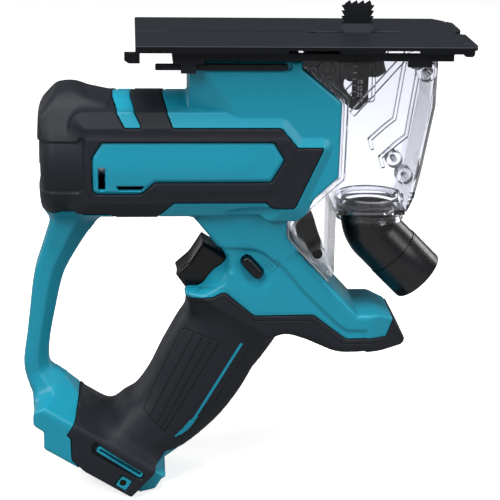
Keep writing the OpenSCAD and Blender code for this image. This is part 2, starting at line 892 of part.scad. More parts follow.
// Arm from the plunger to the blade, with a flat seat
module blade_holder() {
    color(black) difference() {
        union() {
            slab(-4, holder_y + holder_t) polygon(outline([
                [-24.6, -12.6], [-24.6, -8.6, 1], [-7, -8.6], [-7, -14], [-16, -14]
            ]));
            slab(holder_y, holder_y + holder_t) polygon(outline([
                [-9, -14], [-9, -8.6, 1], [9, -8.6, 2], [9, -19, 3], [4, -24, 3], [-4, -24, 3]
            ]));
        }
        rod_z(plunger_x, 0, -30, 0, rod_r);
        slab(-10, holder_y) polygon([[-9, 0], [20, 0], [20, -30], [-9, -30]]);
        rod_y([0, clamp_z], -10, 20, clamp_r);
    }
}

module clamp_plate() {
    color(black) difference() {
        slab(-holder_y - 2.5, -holder_y) polygon(outline([
            [-6.5, -20, 1.5], [-6.5, -9.2, 1.5], [6.5, -9.2, 1.5], [6.5, -20, 1.5]
        ]));
        rod_y([0, clamp_z], -10, 20, clamp_r);
    }
}

module clamp_screw() {
    color(steel) {
        rod_y([0, clamp_z], -holder_y - 2.5, holder_y + holder_t - 0.5, clamp_r);
        difference() {
            rod_y([0, clamp_z], -holder_y - 5, -holder_y - 2.5, 3.5);
            translate([0, -holder_y - 6, clamp_z]) rotate([-90, 0, 0]) cylinder(h = 2.5, r = 1.7, $fn = 6);
        }
    }
}

tooth_pitch = 2.6;

// Blade with hooked teeth up both edges and across the tip
module blade() {
    half = blade_w / 2;
    depth = 1.5;
    body = half - depth;
    rows = floor((blade_out - 1) / tooth_pitch);
    cols = floor(2 * body / tooth_pitch);
    start = blade_out - depth - 0.6 - rows * tooth_pitch;
    edge = [for (i = [0:rows - 1]) each [
        [body, start + i * tooth_pitch], [half, start + (i + 0.9) * tooth_pitch],
        [body + 0.2, start + (i + 0.95) * tooth_pitch]]];
    step = 2 * body / cols;
    tip = [for (i = [0:cols - 1]) each [
        [body - i * step, blade_out - depth], [body - (i + 0.2) * step, blade_out],
        [body - (i + 0.9) * step, blade_out - depth]]];
    color([0.2, 0.21, 0.22]) difference() {
        slab(-blade_t / 2, blade_t / 2) polygon(concat(
            [[5, -21], [5, -6], [body, -4]], edge, tip,
            [for (i = [len(edge) - 1:-1:0]) [-edge[i][0], edge[i][1]]],
            [[-body, -4], [-5, -6], [-5, -21]]));
        rod_y([0, clamp_z], -10, 20, clamp_r + 0.1);
    }
}

scale_y = -14;
scale_t = 2.4;

// Black plate in front of the gear case that carries the depth scale and a round boss
module scale_plate() {
    color(black) {
        slab(scale_y, scale_y + scale_t) polygon(outline([
            [-28.1, -13.1], [-28.1, -10.4], [11, -10.4, 1], [12.8, -16.4, 1], [5, -20.5], [5, -29, 1],
            [0, -34.6, 2], [-3.6, -34.3, 1], [-9, -29]
        ]));
        rod_y([-16.3, -15], scale_y - 4, scale_y, 4.2);
    }
}

module depth_scale() {
    color([0.16, 0.16, 0.17]) slab(scale_y - 0.8, scale_y) polygon([
        [-3.2, -29.4], [-3.2, -12], [4.2, -12], [4.2, -29.4]
    ]);
}

plate_back = plate_front - plate_len;
base_screw_x = [-84, -50];
base_screw_y = 22;

// Pressed base plate with bent edges, a blade slot and a tie-hook at its rear corner
module base_plate() {
    edge = plate_w / 2;
    skirts = [[plate_back + 2, -36], [-12, 8], [24, plate_front - 3]];
    color(black) difference() {
        union() {
            translate([0, 0, -plate_t]) linear_extrude(plate_t) polygon(outline([
                [plate_back, -edge, 1.5], [plate_back, edge, 1.5], [plate_front - 8, edge, 2],
                [plate_front, edge - 12, 2], [plate_front, 6], [plate_front - 4, 4], [plate_front - 4, -4],
                [plate_front, -6], [plate_front, -edge + 3, 2], [plate_front - 3, -edge, 2]
            ]));
            for (s = skirts) for (y = [-edge, edge - 1.6])
                translate([s[0], y, -plate_t - skirt_h]) cube([s[1] - s[0], 1.6, skirt_h + plate_t / 2]);
            slab(-edge, -edge + 5) polygon([
                [plate_back, -plate_t / 2], [plate_back + 2, -plate_t / 2], [plate_back + 2, -8],
                [plate_back - 3, -8], [plate_back - 5, -6.6], [plate_back - 5, -3.6], [plate_back, -3.6]
            ]);
            slab(-edge, -edge + 5) polygon(outline([
                [plate_front - 7, -1], [plate_front - 2, -1], [plate_front - 2, -4.6, 1.5],
                [plate_front - 7, -4.6, 1.5]
            ]));
        }
        translate([-slot_len / 2 - 1, -slot_w / 2, -5]) cube([slot_len, slot_w, 10]);
        rod_z(-slot_len / 2 + 2, 0, -5, 5, slot_w / 2 + 1);
        for (s = [-1, 1]) translate([plate_front - 5.5, s * (edge - 9) - 1.2, -10]) cube([3, 2.4, 20]);
        for (x = base_screw_x) for (s = [-1, 1]) rod_z(x, s * base_screw_y, -5, -0.6, 1.75);
        translate([plate_back - 1, -1, -0.4]) cube([16, 2, 1]);
        translate([-far, -bar_out - seat_gap, -plate_t - far]) cube([2 * far, 2 * (bar_out + seat_gap), far]);
    }
}

// Frame under the plate: two side bars, a rear bridge and a front cross bar
module base_bracket() {
    under = -plate_t;
    bridge = under - bridge_t;
    front = 41;
    color(black) difference() {
        union() {
            translate([-88, -bar_out, bridge]) cube([44, 2 * bar_out, bridge_t]);
            for (s = [-1, 1]) {
                y = s > 0 ? bar_in : -bar_out;
                translate([-88, y, bar_low]) cube([front + 88, bar_t, bar_low * -1 - 4.7]);
                for (x = [[-88, 48], [-12, 21], [28, front - 28]])
                    translate([x[0], y, -5]) cube([x[1], bar_t, 5 + under]);
                translate([-87, y, -9.8]) cube([13, bar_t, 3]);
                translate([-84.4, s > 0 ? bar_out - 1.4 : -bar_out, -14]) cube([7, 1.4, 5]);
                translate([20, y, -10.8]) cube([11, bar_t, 4]);
            }
            translate([front - 4, -bar_out, bar_low]) cube([4, 2 * bar_out, -bar_low + under]);
        }
        for (x = base_screw_x) for (s = [-1, 1]) rod_z(x, s * base_screw_y, -10, 1, 1.75);
        for (s = [-1, 1]) rod_z(post_x, s * post_y, -10, 1, post_d / 2);
    }
}

module guide_posts() {
    color(steel) for (s = [-1, 1]) rod_z(post_x, s * post_y, post_end, -plate_t, post_d / 2);
}

module base_screws() {
    bridge = -plate_t - bridge_t;
    color(steel) for (x = base_screw_x) for (s = [-1, 1]) {
        rod_z(x, s * base_screw_y, bridge, -0.6, 1.75);
        rod_z(x, s * base_screw_y, bridge - 1.5, bridge, 3.2);
    }
}

// U-shaped bar that slides in grooves on both sides of the gear case
module depth_lock() {
    tab_x = -96;
    color(black) {
        for (s = [-1, 1]) slab(s > 0 ? lock_in : -lock_out, s > 0 ? lock_out : -lock_in) polygon(outline([
            [tab_x, lock_top - lock_t, 0.6], [tab_x, lock_top, 0.6], [lock_end, lock_top, lock_t * 0.45],
            [lock_end, lock_top - lock_t, lock_t * 0.45]
        ]));
        slab(-lock_in - 0.5, lock_in + 0.5) polygon(outline([
            [tab_x, lock_top - lock_t, 0.6], [tab_x, lock_top, 0.6], [tab_x + 9, lock_top, 0.6],
            [tab_x + 9, lock_top - lock_t, 0.6]
        ]));
    }
}

// Trigger with a hollowed finger face
module trigger() {
    color(black) intersection() {
        slab(-trigger_y, trigger_y) trigger_outline(0, 0);
        translate([trigger_at[0], 0, trigger_at[1]]) rotate([0, -pull_tilt, 0]) translate([0, 0, -40])
            linear_extrude(60) polygon(outline([
                [-22, -trigger_y, 5], [-22, trigger_y, 5], [30, trigger_y], [30, -trigger_y]
            ]));
    }
}

spring_r = 3;
spring_wire = 0.5;
spring_turns = 5;

// Return spring behind the trigger, one unbroken helix
module trigger_spring() {
    sides = 6;
    per_turn = 8;
    rings = spring_turns * per_turn;
    reach = switch_u - trigger_len - 2 * spring_wire - 0.4;
    start = turned(trigger_at, pull_tilt, trigger_len + spring_wire + 0.2, -13);
    points = [for (i = [0:rings]) for (j = [0:sides - 1])
        let (a = 360 * i / per_turn, b = 360 * j / sides, r = spring_r + spring_wire * cos(b))
        [reach * i / rings + spring_wire * sin(b), r * cos(a), r * sin(a)]];
    skin = [for (i = [0:rings - 1]) for (j = [0:sides - 1]) let (m = (j + 1) % sides) each [
        [i * sides + j, i * sides + m, (i + 1) * sides + m],
        [i * sides + j, (i + 1) * sides + m, (i + 1) * sides + j]]];
    ends = [[for (j = [0:sides - 1]) sides - 1 - j], [for (j = [0:sides - 1]) rings * sides + j]];
    color(steel) translate([start[0], 0, start[1]]) rotate([0, -pull_tilt, 0])
        polyhedron(points, concat(skin, ends));
}

module switch_body() {
    color(black) switch_box(switch_u, -21.5, switch_u + switch_len - 0.2, -3.5, 8);
}

module lock_button() {
    color(black) slab(-button_y, horn_y - 1.5) button_outline(0);
}

// Outside of the clear cover, with its lobe beside the lower body
cover_outline = outline([
    [-27.9, -9.7], [36.4, -9.7, 2], [36.2, -32], [31, -64], [28.2, -77, 3], [24, -84.5, 2], [-9.6, -84.5],
    [-9.6, -113.5, 1], [-12.6, -117.6], [-28.4, -100.6, 4], [-33, -95, 4], [-33, -87.2, 4], [-9.2, -65],
    [-8.8, -28.4], [-27.9, -12.5]
]);

// Window in the near side, over the depth scale
window_outline = outline([
    [-10.4, -9.9], [6.1, -9.9], [6.3, -28.8, 2], [-3.8, -28.8, 2], [-10.1, -21.6, 2]
]);
frame_t = 1.4;
rim_w = 3.4;
rim_h = 1.8;
rib_h = 3.4;
boss_len = 10;
cover_bosses = [[30.9, -15.6, 4.4], [22.9, -65.7, 4]];
side_rib = [[19.1, -9.7], [-3.4, -35.7]];
chute_rib = [[27.4, -9.7], [26.2, -20.5], [22.8, -46.1], [17.8, -50.2], [10.9, -56.7], [12.4, -61.6]];

// Rib of thickness t along a line of points
module rib_line(points, t) {
    for (i = [1:len(points) - 1]) {
        a = points[i - 1];
        along = unit(points[i] - a);
        side = [-along[1], along[0]] * t / 2;
        over = i < len(points) - 1 ? along * t / 3 : [0, 0];
        polygon([a + side, points[i] + over + side, points[i] + over - side, a - side]);
    }
}

// Rim, ribs and screw bosses on the cover's +Y wall
module cover_side() {
    for (edge = [case_outline, lower_outline]) intersection() {
        slab(cover_y - cover_wall / 2, cover_y + rim_h) polygon(cover_outline);
        slab(cover_y - cover_wall, cover_y + 2 * rim_h) polygon(grow(edge, rim_w));
    }
    slab(cover_y - cover_wall - rib_h, cover_y - cover_wall / 2) rib_line(side_rib, 2.8);
    slab(cover_y - cover_wall - rib_h, cover_y - cover_wall / 2) rib_line(chute_rib, 1.6);
    for (b = cover_bosses) rod_y([b[0], b[1]], cover_y - boss_len, cover_y + 0.4, b[2]);
}

module dust_cover() {
    w = cover_wall;
    color(clear) difference() {
        union() {
            difference() {
                slab(-cover_y, cover_y) polygon(cover_outline);
                slab(-cover_y + w, cover_y - w) polygon([
                    [-50, -5], [36.4 - w, -5], [36.2 - w, -32], [31 - w, -64], [28.6 - w, -76],
                    [26 - w, -84.5 + w], [-9.6 - w, -84.5 + w], [-9.6 - w, -113], [-14, -113.4], [-50, -78]
                ]);
            }
            for (side = [0, 1]) mirror([0, side, 0]) cover_side();
            slab(-cover_y - 3, -cover_y + 1) difference() {
                polygon(window_outline);
                polygon(grow(window_outline, -frame_t));
            }
            rod_z(outlet_x, 0, collar_low, collar_top, collar_r);
            rod_z(outlet_x, 0, collar_top - 2.4, collar_top, collar_r + 0.9);
            rod_z(outlet_x, 0, collar_low, collar_low + 1.8, collar_r + 0.4);
        }
        for (b = cover_bosses) rod_y([b[0], b[1]], -far, -cover_y + boss_len - 2, screw_r);
        for (b = cover_bosses) rod_y([b[0], b[1]], cover_y - boss_len + 2, far, screw_r);
        rod_z(outlet_x, 0, collar_low - 1, collar_top + 1, spigot_r + run_gap);
        rod_z(outlet_x, 0, collar_low - 1, bend_top + slide_gap, nozzle_r);
        rod_y([latch_x, latch_z], -far, far, latch_pin_d / 2);
    }
}

module latch_pin() {
    color(black) rod_y([latch_x, latch_z], -cover_y, cover_y, latch_pin_d / 2);
}

// Latch lever on its pin
module cover_latch() {
    color(black) difference() {
        union() {
            slab(-latch_y, latch_y) polygon(outline([
                [-27.6, -89, 2], [-19, -88.2, 1], [-16.4, -97], [-14.6, -102], [-21.4, -103.6],
                [-26.6, -99, 2]
            ]));
            rod_y([latch_x, latch_z], -latch_y, latch_y, latch_hub);
        }
        rod_y([latch_x, latch_z], -far, far, latch_pin_d / 2 + run_gap);
    }
}

seal_top = -82;
seal_low = -84;
seal_depth = 1;

module nozzle_seal() {
    color([0.05, 0.05, 0.05]) translate([outlet_x, 0, 0]) rotate_extrude()
        translate([spigot_r - seal_depth, seal_low]) square([seal_depth, seal_top - seal_low]);
}

bend_angle = 45;
cuff_share = 0.58;

// Elbow tube: a neck, a bend and a straight run with a cuff, run on past both ends by over
module elbow(neck_r, r, run_r, cuff_r, over) {
    rod_z(outlet_x, 0, bend_top, collar_top + over, neck_r);
    translate([outlet_x + bend_r, 0, bend_top]) rotate([-90, 0, 0]) rotate([0, 0, 180 - bend_angle])
        rotate_extrude(angle = bend_angle) translate([bend_r, 0]) circle(r = r);
    translate([outlet_x + bend_r * (1 - cos(bend_angle)), 0, bend_top - bend_r * sin(bend_angle)])
        rotate([0, 180 - bend_angle, 0]) {
            cylinder(h = nozzle_len + over, r = run_r);
            translate([0, 0, nozzle_len * (1 - cuff_share)])
                cylinder(h = nozzle_len * cuff_share + over, r = cuff_r);
        }
}

module dust_nozzle() {
    step = 0.1;
    duct_r = spigot_r - nozzle_wall;
    color(black) difference() {
        elbow(spigot_r, nozzle_r - 3 * step, nozzle_r - 2 * step, nozzle_r, 0);
        elbow(duct_r, duct_r - step, duct_r + step, duct_r + 2 * step, 1);
        translate([outlet_x, 0, 0]) rotate_extrude()
            translate([spigot_r - seal_depth, seal_low]) square([seal_depth + 1, seal_top - seal_low]);
    }
}

module terminal_block() {
    color(black) foot_box(block_u0, bay_v - 3, block_u1, bay_v + 3 - seat_gap, 14);
}

// Two contact blades along the battery's path
module terminal_blades() {
    color([0.8, 0.62, 0.3]) for (y = [-8, 8]) translate([0, y, 0])
        foot_box(block_u0 + 4, rail_v + 1, block_u1 - 2, bay_v - 3, 0.5);
}

// Threaded inserts for a belt hook, one on each side
module hook_inserts() {
    at = foot_point(hook_u, hook_v);
    color([0.75, 0.6, 0.3]) for (s = [-1, 1]) difference() {
        rod_y(at, s > 0 ? foot_y - insert_len : -foot_y, s > 0 ? foot_y : -foot_y + insert_len, insert_r);
        rod_y(at, -far, far, tap_r);
    }
}

housing_left();
housing_right();
barrel_rubber_left();
barrel_rubber_right();
grip_rubber_left();
grip_rubber_right();
housing_screws();
gear_plate();
motor_can();
motor_magnets();
brush_holder();
carbon_brushes();
front_bearing();
rear_bearing();
motor_shaft();
armature_core();
armature_winding();
commutator();
cooling_fan();
pinion();
crank_bearing();
crank_gear();
crank_roller();
upper_bush();
lower_bush();
plunger();
blade_holder();
clamp_plate();
clamp_screw();
blade();
scale_plate();
depth_scale();
base_plate();
base_bracket();
guide_posts();
base_screws();
depth_lock();
trigger();
trigger_spring();
switch_body();
lock_button();
dust_cover();
latch_pin();
cover_latch();
nozzle_seal();
dust_nozzle();
terminal_block();
terminal_blades();
hook_inserts();
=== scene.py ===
# %% [markdown]
# # Drywall cut-out tool
# A small reciprocating saw for plasterboard: a motor barrel with a rubber bumper, a gear case under a
# slotted base plate, a short toothed blade, a grip with a rear guard bar, and a clear dust cover that leads
# to an elbow nozzle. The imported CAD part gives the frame, the joints and the inner parts; this script adds
# the moulded surfaces and the finishes.

# %% Load the frame
import json
import math
import bpy
import bmesh
import numpy as np
from mathutils import Matrix, Vector


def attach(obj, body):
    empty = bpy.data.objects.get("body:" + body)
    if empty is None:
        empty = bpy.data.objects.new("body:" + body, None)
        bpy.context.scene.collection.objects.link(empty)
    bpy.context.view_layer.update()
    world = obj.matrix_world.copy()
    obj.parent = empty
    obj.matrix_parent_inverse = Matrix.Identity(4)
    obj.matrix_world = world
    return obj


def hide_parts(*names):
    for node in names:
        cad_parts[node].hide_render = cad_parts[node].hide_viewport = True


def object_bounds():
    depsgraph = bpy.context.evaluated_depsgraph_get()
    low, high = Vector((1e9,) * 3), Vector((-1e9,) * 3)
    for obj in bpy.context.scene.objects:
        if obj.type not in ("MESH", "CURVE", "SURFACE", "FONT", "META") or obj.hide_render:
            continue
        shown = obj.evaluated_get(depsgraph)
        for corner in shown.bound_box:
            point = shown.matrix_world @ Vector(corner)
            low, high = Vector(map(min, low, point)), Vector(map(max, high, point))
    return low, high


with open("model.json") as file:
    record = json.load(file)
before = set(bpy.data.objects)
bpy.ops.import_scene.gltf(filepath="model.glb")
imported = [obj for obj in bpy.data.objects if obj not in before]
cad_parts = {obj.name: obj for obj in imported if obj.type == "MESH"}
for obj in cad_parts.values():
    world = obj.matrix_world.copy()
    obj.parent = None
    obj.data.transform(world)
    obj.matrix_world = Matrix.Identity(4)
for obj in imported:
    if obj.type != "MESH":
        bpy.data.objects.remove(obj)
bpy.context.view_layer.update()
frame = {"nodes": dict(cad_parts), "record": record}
MM = 0.001
print("nodes in the frame:", len(frame["nodes"]))

# %% [markdown]
# ## Surfaces as distance functions
# A moulded housing is a blend of a few simple solids: a barrel, a box with chamfers, a swept grip. Each is
# written as a function that is negative inside and positive outside, in millimetres. Two such functions
# join with a soft minimum, which leaves the small fillet that a mould needs. All shapes are symmetric, so w
# means the distance from the parting plane and one function serves both halves.

# %% Soft joins
def smooth_min(a, b, k):
    """Union of a and b, with a fillet about k wide."""
    h = np.clip(0.5 + 0.5 * (b - a) / k, 0, 1)
    return b + (a - b) * h - k * h * (1 - h)


def smooth_max(a, b, k):
    """What a and b share, with an edge rounded about k wide."""
    return -smooth_min(-a, -b, k)


def edged(a, b, r):
    """What a and b share, with the edge between them rounded by r."""
    p = a + r
    q = b + r
    return np.minimum(np.maximum(p, q), 0) + np.hypot(np.maximum(p, 0), np.maximum(q, 0)) - r


def beyond(x, w, z, at, way):
    """Distance beyond the plane through at whose normal is way."""
    return (x - at[0]) * way[0] + (w - at[1]) * way[1] + (z - at[2]) * way[2]


def fade(value, start, end):
    """0 up to start, 1 from end on, and straight between."""
    return np.clip((value - start) / (end - start), 0, 1)


print("a soft join 4 mm wide adds", -smooth_min(0, 0, 4), "mm")

# %% Outlines with rounded corners
FAR = 1e9


def corner(p, q, s, steps):
    """Points that round corner q = (x, z, radius) between its neighbours p and s."""
    at = np.array(q[:2], float)
    if len(q) < 3:
        return [at]
    a = np.array(p[:2]) - at
    b = np.array(s[:2]) - at
    a = a / np.linalg.norm(a)
    b = b / np.linalg.norm(b)
    half = math.acos(max(-1, min(1, a @ b))) / 2
    mid = at + (a + b) / np.linalg.norm(a + b) * q[2] / math.sin(half)
    start = at + a * q[2] / math.tan(half) - mid
    end = at + b * q[2] / math.tan(half) - mid
    first = math.atan2(start[1], start[0])
    turn = (math.atan2(end[1], end[0]) - first + math.pi) % (2 * math.pi) - math.pi
    angles = [first + turn * i / steps for i in range(steps + 1)]
    return [mid + q[2] * np.array([math.cos(t), math.sin(t)]) for t in angles]


def outline(corners, steps=5):
    """Closed outline from corners (x, z) or (x, z, radius)."""
    after = corners[1:] + corners[:1]
    before = corners[-1:] + corners[:-1]
    return np.array([p for trio in zip(before, corners, after) for p in corner(*trio, steps)])


def area(points):
    """Function for the signed distance to a closed outline in the (x, z) plane."""
    def distance(x, z):
        best = np.full(np.broadcast(x, z).shape, FAR)
        inside = np.zeros(best.shape, bool)
        for (ax, az), (bx, bz) in zip(points, np.roll(points, -1, 0)):
            ex = bx - ax
            ez = bz - az
            t = np.clip(((x - ax) * ex + (z - az) * ez) / max(ex * ex + ez * ez, 1e-9), 0, 1)
            best = np.minimum(best, (x - ax - ex * t) ** 2 + (z - az - ez * t) ** 2)
            if ez != 0:
                inside ^= ((az <= z) != (bz <= z)) & (x < ax + (z - az) * ex / ez)
        return np.where(inside, -1, 1) * np.sqrt(best)
    return distance


def trail(points):
    """Function for the distance in the side view to a line through points."""
    def distance(x, z):
        best = FAR
        for (ax, az), (bx, bz) in zip(points, points[1:]):
            ex = bx - ax
            ez = bz - az
            t = np.clip(((x - ax) * ex + (z - az) * ez) / (ex * ex + ez * ez), 0, 1)
            best = np.minimum(best, np.hypot(x - ax - ex * t, z - az - ez * t))
        return best
    return distance


print("a corner of radius 2 becomes", len(corner((0, 9), (0, 0, 2), (9, 0), 5)), "points")

# %% Centre lines that carry a depth and a width
CURVE_STEPS = 3


def resample(rows):
    """Smooth curve through rows of numbers."""
    r = np.array(rows, float)
    r = np.vstack([2 * r[0] - r[1], r, 2 * r[-1] - r[-2]])
    out = []
    for i in range(1, len(r) - 2):
        a, b, c, d = r[i - 1:i + 3]
        for t in np.arange(CURVE_STEPS) / CURVE_STEPS:
            bend = (2 * a - 5 * b + 4 * c - d) * t ** 2 + (3 * b - a - 3 * c + d) * t ** 3
            out.append(0.5 * (2 * b + (c - a) * t + bend))
    return np.array(out + [r[-2]])


def along(rows):
    """Function for the offset from a centre line, and for the values carried along it."""
    rows = resample(rows)

    def measure(x, z):
        shape = np.broadcast(x, z).shape
        best = np.full(shape, FAR)
        offset = np.zeros(shape)
        carried = [np.zeros(shape) for _ in rows[0][2:]]
        for a, b in zip(rows, rows[1:]):
            ex = b[0] - a[0]
            ez = b[1] - a[1]
            t = np.clip(((x - a[0]) * ex + (z - a[1]) * ez) / (ex * ex + ez * ez), 0, 1)
            gap = np.hypot(x - a[0] - ex * t, z - a[1] - ez * t)
            near = gap < best
            side = np.sign((z - a[1]) * ex - (x - a[0]) * ez)
            best = np.where(near, gap, best)
            offset = np.where(near, gap * side, offset)
            carried = [np.where(near, p + (q - p) * t, old) for p, q, old in zip(a[2:], b[2:], carried)]
        return offset, carried
    return measure


class Slope:
    """A sloping frame in the side view: u runs along it and v across it."""
    def __init__(self, x, z, degrees):
        self.x = x
        self.z = z
        self.c = math.cos(math.radians(degrees))
        self.s = math.sin(math.radians(degrees))

    def point(self, u, v, *radius):
        """Corner of an outline at (u, v)."""
        return (self.x + u * self.c - v * self.s, self.z + u * self.s + v * self.c, *radius)

    def local(self, x, z):
        """The u and v of a place in the side view."""
        dx = x - self.x
        dz = z - self.z
        return dx * self.c + dz * self.s, dz * self.c - dx * self.s


print("steps between two rows of a centre line:", CURVE_STEPS)

# %% [markdown]
# ## From a function to a mesh
# Blender's metaballs or a volume could draw such a function, but they blur its edges. Here a grid of cells
# is laid over it. Each cell that the surface crosses gets one point, in the middle of its crossings; each
# crossed edge of the grid joins the points of its four cells with a face. At last the points are pulled
# onto the true surface.

# %% Grid, points and faces
SLAB = 48
CUBE = [(i, j, k) for i in (0, 1) for j in (0, 1) for k in (0, 1)]


def sampled(field, axes):
    """Values of field on a grid, worked out in slabs to save memory."""
    values = np.empty([len(a) for a in axes], np.float32)
    for i in range(0, len(axes[0]), SLAB):
        slab = axes[0][i:i + SLAB, None, None]
        values[i:i + SLAB] = field(slab, axes[1][None, :, None], axes[2][None, None, :])
    return values


def crossed_cells(inside):
    """True for each cell with corners on both sides of the surface."""
    n = inside.shape
    count = np.zeros([k - 1 for k in n], np.int8)
    for i, j, k in CUBE:
        count += inside[i:n[0] - 1 + i, j:n[1] - 1 + j, k:n[2] - 1 + k]
    return (count > 0) & (count < len(CUBE))


def cell_points(values, cells):
    """Middle of the places where the surface crosses each cell's edges, counted in cells."""
    total = np.zeros((len(cells), 3))
    count = np.zeros(len(cells))
    for axis in range(3):
        for edge in range(4):
            start = np.zeros(3, int)
            start[(axis + 1) % 3] = edge & 1
            start[(axis + 2) % 3] = edge >> 1
            end = start.copy()
            end[axis] += 1
            a = values[tuple((cells + start).T)]
            b = values[tuple((cells + end).T)]
            cross = (a < 0) != (b < 0)
            point = (cells + start).astype(float)
            point[:, axis] += np.where(cross, a / np.where(cross, a - b, 1), 0)
            total += point * cross[:, None]
            count += cross
    return total / count[:, None]


def net_faces(inside, index):
    """A face around each crossed edge, through the points of its four cells, turned outwards."""
    faces = []
    for axis in range(3):
        b = (axis + 1) % 3
        c = (axis + 2) % 3
        edges = np.argwhere(np.diff(inside, axis=axis))
        within = (edges[:, b] > 0) & (edges[:, b] < inside.shape[b] - 1)
        within &= (edges[:, c] > 0) & (edges[:, c] < inside.shape[c] - 1)
        edges = edges[within]
        quad = []
        for back_b, back_c in ((1, 1), (0, 1), (0, 0), (1, 0)):
            cell = edges.copy()
            cell[:, b] -= back_b
            cell[:, c] -= back_c
            quad.append(index[tuple(cell.T)])
        quad = np.stack(quad, 1)
        wrong = ~inside[tuple(edges.T)]
        quad[wrong] = quad[wrong][:, ::-1]
        faces.append(quad)
    faces = np.vstack(faces)
    return faces[(faces >= 0).all(1)]


print("a cell has", len(CUBE), "corners")

# %% Surface from a distance function
GRID_START = 0.75
PULLS = 2
PROBE = 0.05
LONGEST_PULL = 0.6
LEAST_SLOPE = 0.2


def pulled(field, points, cell):
    """Points moved down the slope of field until they lie on its surface."""
    step = cell * PROBE
    reach = cell * LONGEST_PULL
    for _ in range(PULLS):
        f = field(*points.T)
        slope = np.stack([(field(*(points + step * way).T) - f) / step for way in np.eye(3)], 1)
        move = slope * (f / np.maximum((slope ** 2).sum(1), LEAST_SLOPE))[:, None]
        points = points - np.clip(move, -reach, reach)
    return points


def surface(field, low, high, cell, symmetric=True):
    """Points and faces of the zero surface of field(x, w, z) in the box from low to high."""
    axes = []
    for a, b in zip(low, high):
        count = math.ceil((b - a) / cell) + 2
        axes.append(a + cell * (np.arange(count) - GRID_START))
    values = sampled(field, axes)
    inside = values < 0
    used = crossed_cells(inside)
    index = np.full(used.shape, -1)
    index[used] = np.arange(used.sum())
    points = np.array([a[0] for a in axes]) + cell_points(values, np.argwhere(used)) * cell
    points = pulled(field, points, cell)
    if symmetric:
        points[:, 1] = np.maximum(points[:, 1], 0)
    return points, net_faces(inside, index)


print("points are pulled", PULLS, "times")

# %% [markdown]
# ## Barrel and bumper
# The outlines are those of the CAD part, in millimetres, seen from the side. The barrel holds the motor and
# is nearly a turned part, with a domed back and a soft rear edge. A bumper on top of its rear end takes the
# knocks. A modifier could spin the barrel, but as distance functions both blend into the forms that follow.

# %% Forms of barrel and bumper
AXIS_Z = -59.3
BARREL_R = 30.5
BARREL_BACK = -151
BARREL_FRONT = -46
BARREL_DOME = 2
BARREL_EDGE = 7
BUMPER_Z = -47.4
BUMPER_R = 24
bumper_area = area(outline([
    (-150, -36, 4), (-142, -25.5, 6), (-135, -23.4, 8), (-127.5, -28, 8), (-118, -30.8), (-118, -59),
    (-150, -59)]))


def barrel_form(x, w, z):
    r = np.hypot(w, z - AXIS_Z)
    back = BARREL_BACK + BARREL_DOME * (r / BARREL_R) ** 2
    return edged(np.maximum(back - x, x - BARREL_FRONT), r - BARREL_R, BARREL_EDGE)


def bumper_form(x, w, z):
    return smooth_max(bumper_area(x, z), np.hypot(w, z - BUMPER_Z) - BUMPER_R, 3)


print("barrel:", BARREL_FRONT - BARREL_BACK, "mm long, radius", BARREL_R)

# %% [markdown]
# ## Gear case and side pad
# The gear case turns the motor's drive up to the blade; outside it is a box with chamfers. Each chamfer is
# a plane, given by a point and a normal. The side pad is a raised plate that slopes back along its edges,
# so its half width is a sum of slopes. A shallow apron leads from the case out to the pad.

# %% Forms of gear case and side pad
CASE_W = 27
PAD_W = 30.2
PAD_UPPER = -45.6
PAD_LOWER = -69.6
APRON_W = 29.3
APRON_REACH = 7
APRON_FRONT = -14
case_area = area(outline([
    (-80, -40), (-80, -7, 4), (-28.4, -7, 1.5), (-28.4, -13), (-9.4, -28.7), (-9.8, -64.6), (-33.6, -87, 5),
    (-33.4, -95.5, 5), (-28, -102), (-50, -112), (-62, -106.2), (-71, -94.1), (-77, -86.6, 6), (-80, -85)]))
pad_area = area(outline([
    (-128, -40.2), (-37.4, -40.2, 1.5), (-29.7, -49.5, 0.8), (-17.2, -49.5, 0.8), (-30.4, -79, 2),
    (-40.5, -79, 2), (-44, -76), (-128, -76)]))


def case_form(x, w, z):
    f = edged(case_area(x, z), w - CASE_W, 1.2)
    shoulder = beyond(0, w, z, (0, CASE_W, -10), (0, 0.7071, 0.7071))
    facet = beyond(x, w, z, (-70, CASE_W, -16), (-0.354, 0.908, -0.2245))
    under = beyond(0, w, z, (0, CASE_W, -86), (0, 0.9489, -0.3163))
    return smooth_max(smooth_max(np.maximum(f, shoulder), facet, 0.8), under, 3)


def pad_form(x, w, z):
    """Raised side pad, which slopes back along its upper, lower and front edges."""
    nose = beyond(x, 0, z, (-35.6, 0, -55.2), (0.862, 0, -0.512))
    face = PAD_W - 0.4 * np.maximum(z - PAD_UPPER, 0) - 0.3 * np.maximum(PAD_LOWER - z, 0)
    face = face - 0.2 * np.maximum(nose - 1, 0)
    return edged(pad_area(x, z), (w - face) * 0.91, 0.8)


def apron_form(x, w, z):
    """Slope from the gear case out to the side pad."""
    gap = pad_area(x, z)
    slope = (w - APRON_W + 0.5 * np.maximum(gap, 0)) * 0.89
    return np.maximum(slope, np.maximum(gap - APRON_REACH, x - APRON_FRONT))


print("half width of the case", CASE_W, "mm, of the pad", PAD_W, "mm")

# %% [markdown]
# ## Lower housing, grip and guard bar
# The lower housing holds the switch, with a horn in front that shields the hand. The grip and the guard bar
# are swept along a centre line. Each row of a line gives a place, a half depth and a half width. The grip's
# section is a superellipse, rounder than a box and fuller than an ellipse, as a hand likes it.

